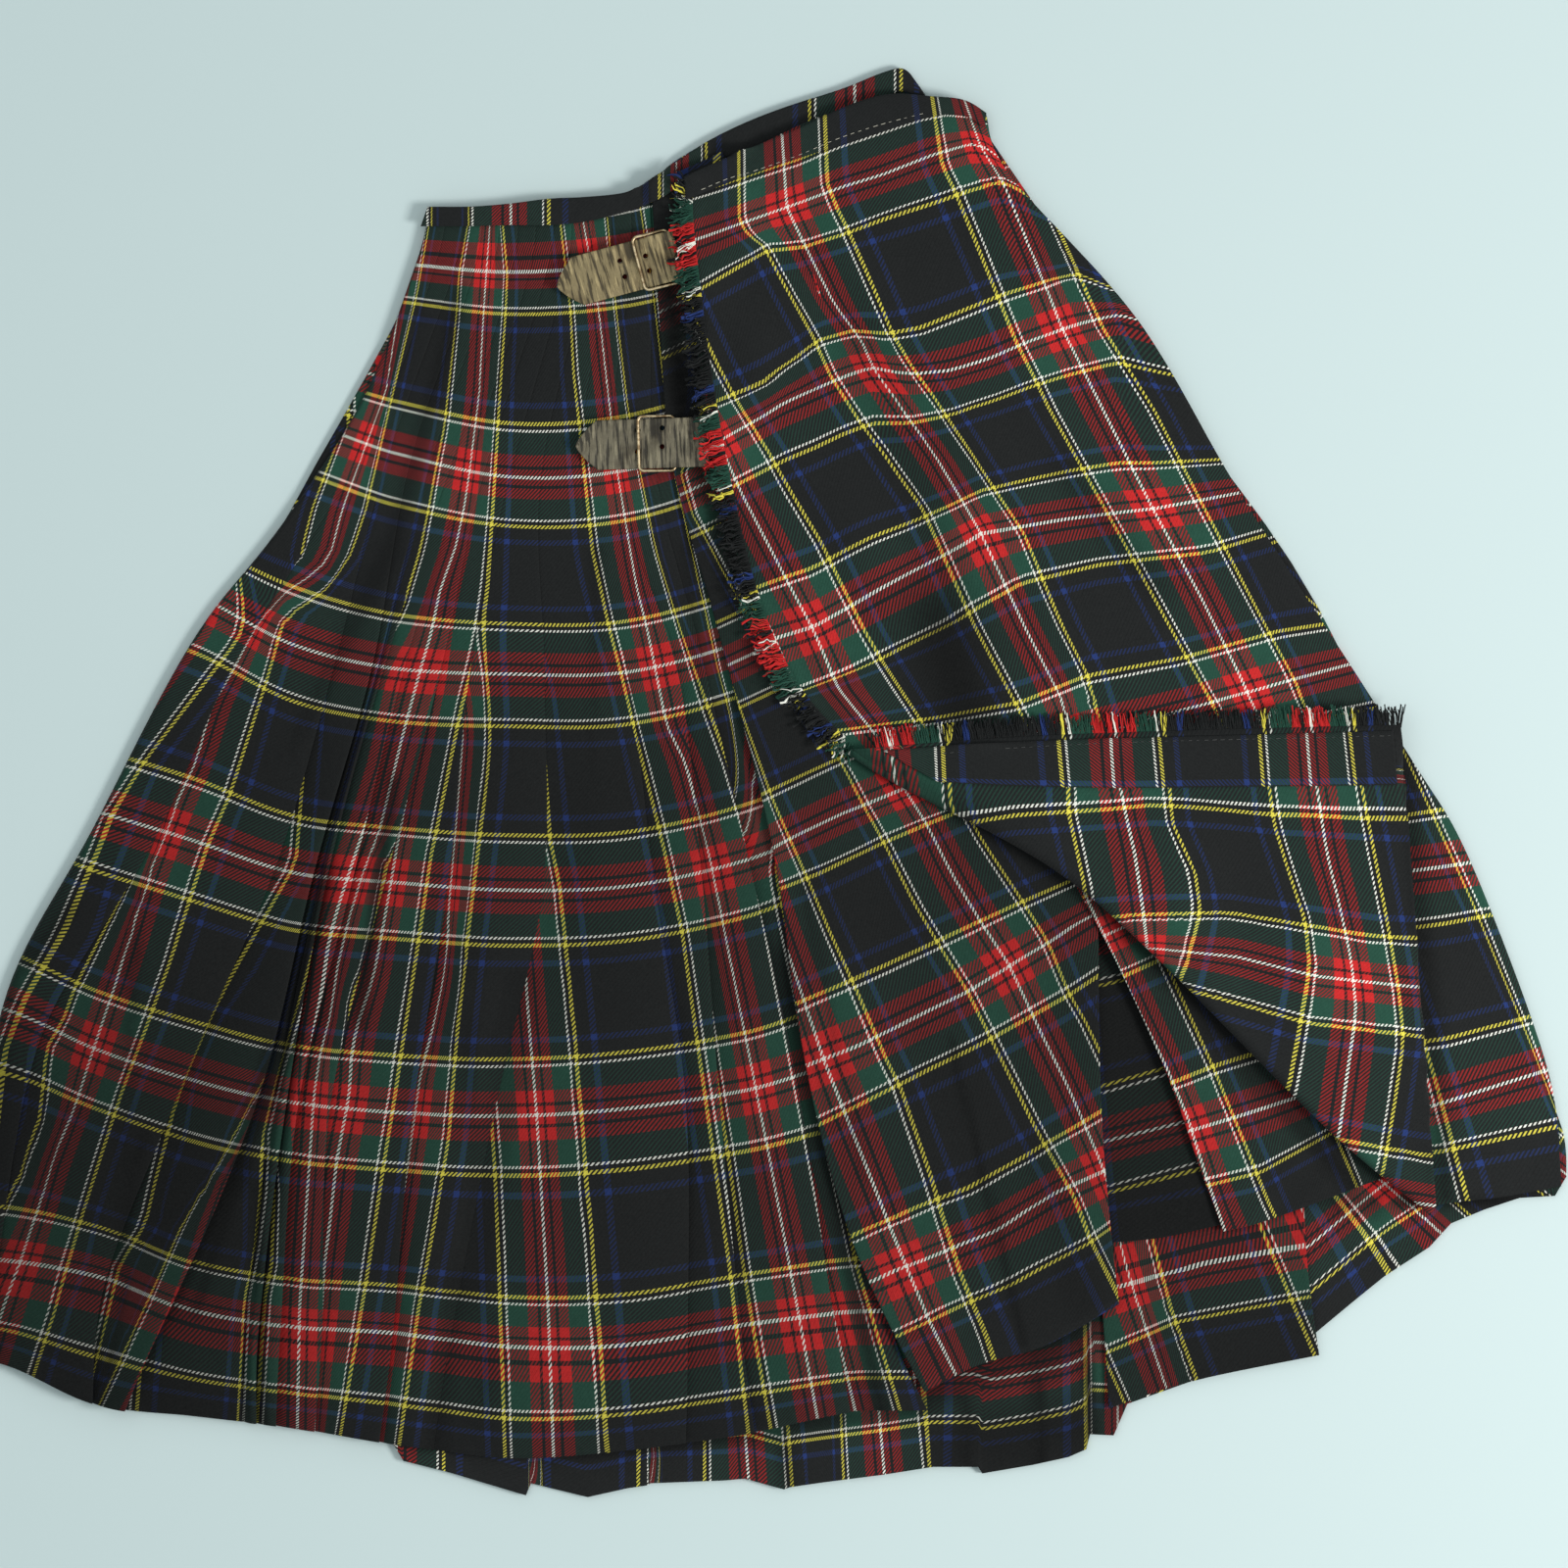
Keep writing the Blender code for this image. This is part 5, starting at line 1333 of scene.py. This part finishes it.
def buckle_frame(name):
    node = "buckle_" + name
    bar = STRAPS[name][2]
    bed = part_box("strap_" + name)[0].z / METRE
    half = STRAP_WIDTH / 2 + SEAM_GAP + WIRE / 2
    outline = []
    for a, b, start in ((bar + BUCKLE_CORNER, half - BUCKLE_CORNER, 90),
                        (bar + BUCKLE_CORNER, BUCKLE_CORNER - half, 180),
                        (bar + BUCKLE_LENGTH - BUCKLE_CORNER, BUCKLE_CORNER - half, 270),
                        (bar + BUCKLE_LENGTH - BUCKLE_CORNER, half - BUCKLE_CORNER, 0)):
        for k in range(7):
            turn = math.radians(start + 15 * k)
            outline.append((a + BUCKLE_CORNER * math.cos(turn), b + BUCKLE_CORNER * math.sin(turn)))
    high, low = bed + STRAP_LIFT + STRAP_WALL + SEAM_GAP + WIRE / 2, bed + WIRE / 2
    curve = bpy.data.curves.new(node + "_wire", "CURVE")
    curve.dimensions = "3D"
    curve.bevel_depth = WIRE / 2 * METRE
    curve.bevel_resolution = 4
    line = curve.splines.new("POLY")
    line.points.add(len(outline) - 1)
    for point, (a, b) in zip(line.points, outline):
        x, y = strap_place(name, a, b)
        fall = float(ramp(a, bar + 2, bar + BUCKLE_LENGTH - 5))
        point.co = (*in_frame((x, y, high + (low - high) * fall)), 1.0)
    line.use_cyclic_u = True
    maker = bpy.data.objects.new("wire_path", curve)
    bpy.context.scene.collection.objects.link(maker)
    mesh = bpy.data.meshes.new_from_object(maker.evaluated_get(bpy.context.evaluated_depsgraph_get()))
    bpy.data.objects.remove(maker)
    mesh.materials.clear()
    mesh.polygons.foreach_set("use_smooth", [True] * len(mesh.polygons))
    thing = bpy.data.objects.new(node + "_wire", mesh)
    bpy.context.scene.collection.objects.link(thing)
    return dressed(thing, [node], brass)


for strap_name, strap_finish in (("upper", khaki), ("lower", grey_khaki)):
    strap_leather(strap_name, strap_finish)
    buckle_frame(strap_name)
print("straps:", list(STRAPS))

# %% [markdown]
# The over-apron's edge is frayed: the warp yarns were pulled out, and the ends of the weft
# yarns stand off the cloth, each in the colour of its own weft stripe. Geometry Nodes place
# a thin yarn at even steps along the edge, turn each a little at random, and then push
# every point about with noise, so the yarns come out crumpled.

# %% Fringe tree
def yarn_tree():
    tree = bpy.data.node_groups.new("frayed_edge", "GeometryNodeTree")
    face = tree.interface
    face.new_socket("Geometry", in_out="INPUT", socket_type="NodeSocketGeometry")
    for label, kind, value in (("Pitch", "NodeSocketFloat", 0.0006), ("Length", "NodeSocketFloat", 0.008),
                               ("Thickness", "NodeSocketFloat", 0.0003), ("Crumple", "NodeSocketFloat",
                                   0.002),
                               ("Spread", "NodeSocketFloat", 1.0),
                               ("Seed", "NodeSocketInt", 1), ("Yarn", "NodeSocketMaterial", None)):
        socket = face.new_socket(label, in_out="INPUT", socket_type=kind)
        if value is not None:
            socket.default_value = value
    face.new_socket("Geometry", in_out="OUTPUT", socket_type="NodeSocketGeometry")

    def add(kind, settings=None, **inputs):
        node = tree.nodes.new(kind)
        for key, value in (settings or {}).items():
            setattr(node, key, value)
        for key, value in inputs.items():
            key = int(key[1:]) if key[0] == "_" else key.replace("_", " ")
            if isinstance(value, bpy.types.NodeSocket):
                tree.links.new(value, node.inputs[key])
            else:
                node.inputs[key].default_value = value
        return node

    given = tree.nodes.new("NodeGroupInput").outputs
    edge = add("GeometryNodeMeshToCurve", Mesh=given["Geometry"])
    spaced = add("GeometryNodeResampleCurve", {"mode": "LENGTH"}, Curve=edge.outputs[0],
                 Length=given["Pitch"])
    outward = add("GeometryNodeInputNamedAttribute", {"data_type": "FLOAT_VECTOR"}, Name="outward")
    aim = add("FunctionNodeAlignRotationToVector", {"axis": "X"}, Vector=outward.outputs[0])
    turn = add("FunctionNodeRandomValue", {"data_type": "FLOAT_VECTOR"}, _0=(-0.1, -0.25, -0.7),
               _1=(0.1, 0.12, 0.7),
               Seed=given["Seed"])
    spread = add("ShaderNodeVectorMath", {"operation": "SCALE"}, _0=turn.outputs[0], Scale=given["Spread"])
    euler = add("FunctionNodeEulerToRotation", Euler=spread.outputs[0])
    aimed = add("FunctionNodeRotateRotation", {"rotation_space": "LOCAL"}, Rotation=aim.outputs[0],
                Rotate_By=euler.outputs[0])
    size = add("FunctionNodeRandomValue", {"data_type": "FLOAT"}, _2=0.6, _3=1.1, Seed=given["Seed"])
    line = add("GeometryNodeCurvePrimitiveLine", {"mode": "DIRECTION"}, Direction=(1.0, 0.0, 0.0),
               Length=given["Length"])
    bent = add("GeometryNodeResampleCurve", {"mode": "COUNT"}, Curve=line.outputs[0], Count=9)
    round_ = add("GeometryNodeCurvePrimitiveCircle", {"mode": "RADIUS"}, Resolution=5,
                 Radius=given["Thickness"])
    yarn = add("GeometryNodeCurveToMesh", Curve=bent.outputs[0], Profile_Curve=round_.outputs[0],
               Fill_Caps=True)
    where = add("GeometryNodeInputPosition")
    parts = add("ShaderNodeSeparateXYZ", Vector=where.outputs[0])
    kept = add("GeometryNodeStoreNamedAttribute", {"data_type": "FLOAT", "domain": "POINT"},
               Geometry=yarn.outputs[0],
               Name="run", Value=parts.outputs[0])
    placed = add("GeometryNodeInstanceOnPoints", Points=spaced.outputs[0], Instance=kept.outputs[0],
                 Rotation=aimed.outputs[0], Scale=size.outputs[1])
    real = add("GeometryNodeRealizeInstances", Geometry=placed.outputs[0])
    run = add("GeometryNodeInputNamedAttribute", {"data_type": "FLOAT"}, Name="run")
    noise = add("ShaderNodeTexNoise", {"noise_dimensions": "3D"}, Scale=260.0, Detail=1.0)
    centred = add("ShaderNodeVectorMath", {"operation": "SUBTRACT"}, _0=noise.outputs["Color"],
                  _1=(0.5, 0.5, 0.45))
    flatter = add("ShaderNodeVectorMath", {"operation": "MULTIPLY"}, _0=centred.outputs[0],
                  _1=(2.4, 2.4, 0.7))
    share = add("ShaderNodeMath", {"operation": "DIVIDE"}, _0=run.outputs[0], _1=given["Length"])
    reach = add("ShaderNodeMath", {"operation": "MULTIPLY"}, _0=share.outputs[0], _1=given["Crumple"])
    push = add("ShaderNodeVectorMath", {"operation": "SCALE"}, _0=flatter.outputs[0], Scale=reach.outputs[0])
    moved = add("GeometryNodeSetPosition", Geometry=real.outputs[0], Offset=push.outputs[0])
    coloured = add("GeometryNodeSetMaterial", Geometry=moved.outputs[0], Material=given["Yarn"])
    result = tree.nodes.new("NodeGroupOutput")
    tree.links.new(coloured.outputs[0], result.inputs[0])
    return tree


frayed = yarn_tree()


def fringe(name, node, edge, outward, weave, length, pitch, crumple, spread, seed, radius=0.00034,
           material=None):
    """Yarns along an edge of layout points; weave gives each point's weft coordinate."""
    mesh = bpy.data.meshes.new(name)
    mesh.from_pydata(in_frame(edge).tolist(), [(i, i + 1) for i in range(len(edge) - 1)], [])
    way = mesh.attributes.new("outward", "FLOAT_VECTOR", "POINT")
    way.data.foreach_set("vector", np.asarray(outward, float).ravel())
    colour = mesh.attributes.new("weft", "FLOAT", "POINT")
    colour.data.foreach_set("value", np.asarray(weave, float))
    maker = bpy.data.objects.new(name + "_path", mesh)
    bpy.context.scene.collection.objects.link(maker)
    nodes = maker.modifiers.new("yarns", "NODES")
    nodes.node_group = frayed
    ids = {item.name: item.identifier for item in frayed.interface.items_tree if item.in_out == "INPUT"}
    for label, value in (("Pitch", pitch), ("Length", length), ("Thickness", radius), ("Crumple", crumple),
                         ("Spread", spread), ("Seed", seed), ("Yarn", material or fray)):
        nodes[ids[label]] = value
    bpy.context.view_layer.update()
    baked = bpy.data.meshes.new_from_object(maker.evaluated_get(bpy.context.evaluated_depsgraph_get()))
    bpy.data.objects.remove(maker)
    values = np.zeros(len(baked.vertices))
    baked.attributes["weft"].data.foreach_get("value", values)
    corners = np.zeros(len(baked.loops), int)
    baked.loops.foreach_get("vertex_index", corners)
    layer = baked.uv_layers.new(name="weave")
    layer.data.foreach_set("uv", np.column_stack([np.full(len(corners), 0.45), values[corners]]).ravel())
    thing = bpy.data.objects.new(name, baked)
    bpy.context.scene.collection.objects.link(thing)
    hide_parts(node)
    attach(thing, "root")
    print(name, "triangles:", sum(len(p.vertices) - 2 for p in baked.polygons))
    return thing


edge_rows = apron_main[2:turned_from, 0]
edge_way = np.gradient(edge_rows[:, :2], axis=0)
edge_way /= np.linalg.norm(edge_way, axis=1, keepdims=True)
edge_out = np.column_stack([-edge_way[:, 1], -edge_way[:, 0], np.full(len(edge_way), -0.22)])
edge_fringe = fringe("edge_fringe_yarns", "fringe_edge", edge_rows + [5.4, 0, 1.7], edge_out,
                     weft(APRON_WEFT, edge_rows), 0.0122, 0.00026, 0.0042, 1.0, 4)
corner_rows = apron_flap[4:, -1]
corner_way = np.gradient(corner_rows[:, :2], axis=0)
corner_way /= np.linalg.norm(corner_way, axis=1, keepdims=True)
corner_out = np.column_stack([corner_way[:, 1], corner_way[:, 0], np.full(len(corner_way), -0.35)])
corner_fringe = fringe("corner_fringe_yarns", "fringe_corner", corner_rows + [0, 1.4, 0.4], corner_out,
                       weave_value(FLAP_WEFT, corner_rows[:, 0], corner_rows[:, 1], 1), 0.0118, 0.00026,
                       0.0009, 0.38, 9)

# %% [markdown]
# Pale thread shows where the waistband is sewn on, and dark thread runs along the edge band.
# The same tree lays the stitches: short straight yarns that point along the seam.

# %% Stitches
THREAD_PITCH, THREAD_LENGTH, THREAD_RADIUS = 0.0040, 0.0021, 0.00016
SEAMS = {
    # seam: solid below, lift in millimetres, colour of the thread, points in photo pixels
    "apron_seam_stitches": ("waistband_apron", 0.3, (196, 190, 172),
                            [(716, 196), (742, 185), (771, 176), (816, 160), (854, 144), (896, 130),
                                                    (938, 119)]),
    "edge_seam_stitches": ("edge_band", 0.35, (78, 78, 76),
                           [(960, 769), (1040, 763), (1140, 758), (1250, 755), (1340, 753),
                                                         (1412, 751)]),
}


def stitches(name):
    node, lift, colour, points = SEAMS[name]
    thread, shader, _ = new_finish(name + "_thread", 0.8)
    shader.inputs["Base Color"].default_value = (*srgb(*colour), 1)
    line = resampled(np.array(points, float)[:, None] * [PHOTO, PHOTO] + np.zeros((1, 2, 1)), 60, 1)[:, 0]
    line = np.array([(x, y, height(node, x, y) + lift) for x, y in line])
    way = np.gradient(line, axis=0) * [1, -1, 1]
    return fringe(name, node, line, way / np.linalg.norm(way, axis=1, keepdims=True), np.zeros(len(line)),
                  THREAD_LENGTH, THREAD_PITCH, 0.0, 0.05, 3, THREAD_RADIUS, thread)


apron_stitches = stitches("apron_seam_stitches")
edge_stitches = stitches("edge_seam_stitches")

# %% [markdown]

# %% [markdown]
# The photograph looks straight down from well above, in soft light from the upper side.

# %% Camera, table and light
def looking_down():
    camera = bpy.data.objects.new("camera", bpy.data.cameras.new("camera"))
    bpy.context.scene.collection.objects.link(camera)
    distance = 3.2
    camera.data.sensor_width = 36.0
    camera.data.lens = 36.0 * distance / 0.8
    camera.location = (0.4 - MIDDLE_X * METRE, MIDDLE_Y * METRE - 0.4, distance)
    camera.data.clip_end = 20.0
    bpy.context.scene.camera = camera
    return camera


looking_down()
table_mesh = bpy.data.meshes.new("table")
table_mesh.from_pydata([(-4, -4, -0.0005), (4, -4, -0.0005), (4, 4, -0.0005), (-4, 4, -0.0005)], [],
                       [(0, 1, 2, 3)])
table = bpy.data.objects.new("table", table_mesh)
bpy.context.scene.collection.objects.link(table)
table_finish, table_shader, _ = new_finish("pale_table", 0.85)
table_shader.inputs["Base Color"].default_value = (*srgb(205, 220, 218), 1)
table.data.materials.append(table_finish)

LAMPS = [
    # name, place, energy in watts, size in metres
    ("key_light", (1.75, -0.45, 1.55), 40.0, 0.7),
    ("fill_light", (-0.7, 0.5, 2.6), 13.0, 2.0),
]
for lamp_name, place, energy, size in LAMPS:
    light = bpy.data.lights.new(lamp_name, "AREA")
    light.energy, light.size = energy, size
    lamp = bpy.data.objects.new(lamp_name, light)
    lamp.location = place
    lamp.rotation_euler = (-Vector(place)).to_track_quat("-Z", "Y").to_euler()
    bpy.context.scene.collection.objects.link(lamp)
world = bpy.data.worlds.new("room")
world.use_nodes = True
world.node_tree.nodes["Background"].inputs[0].default_value = (0.80, 0.90, 0.94, 1)
world.node_tree.nodes["Background"].inputs[1].default_value = 0.5
bpy.context.scene.world = world
bpy.context.scene.view_settings.view_transform = "Standard"
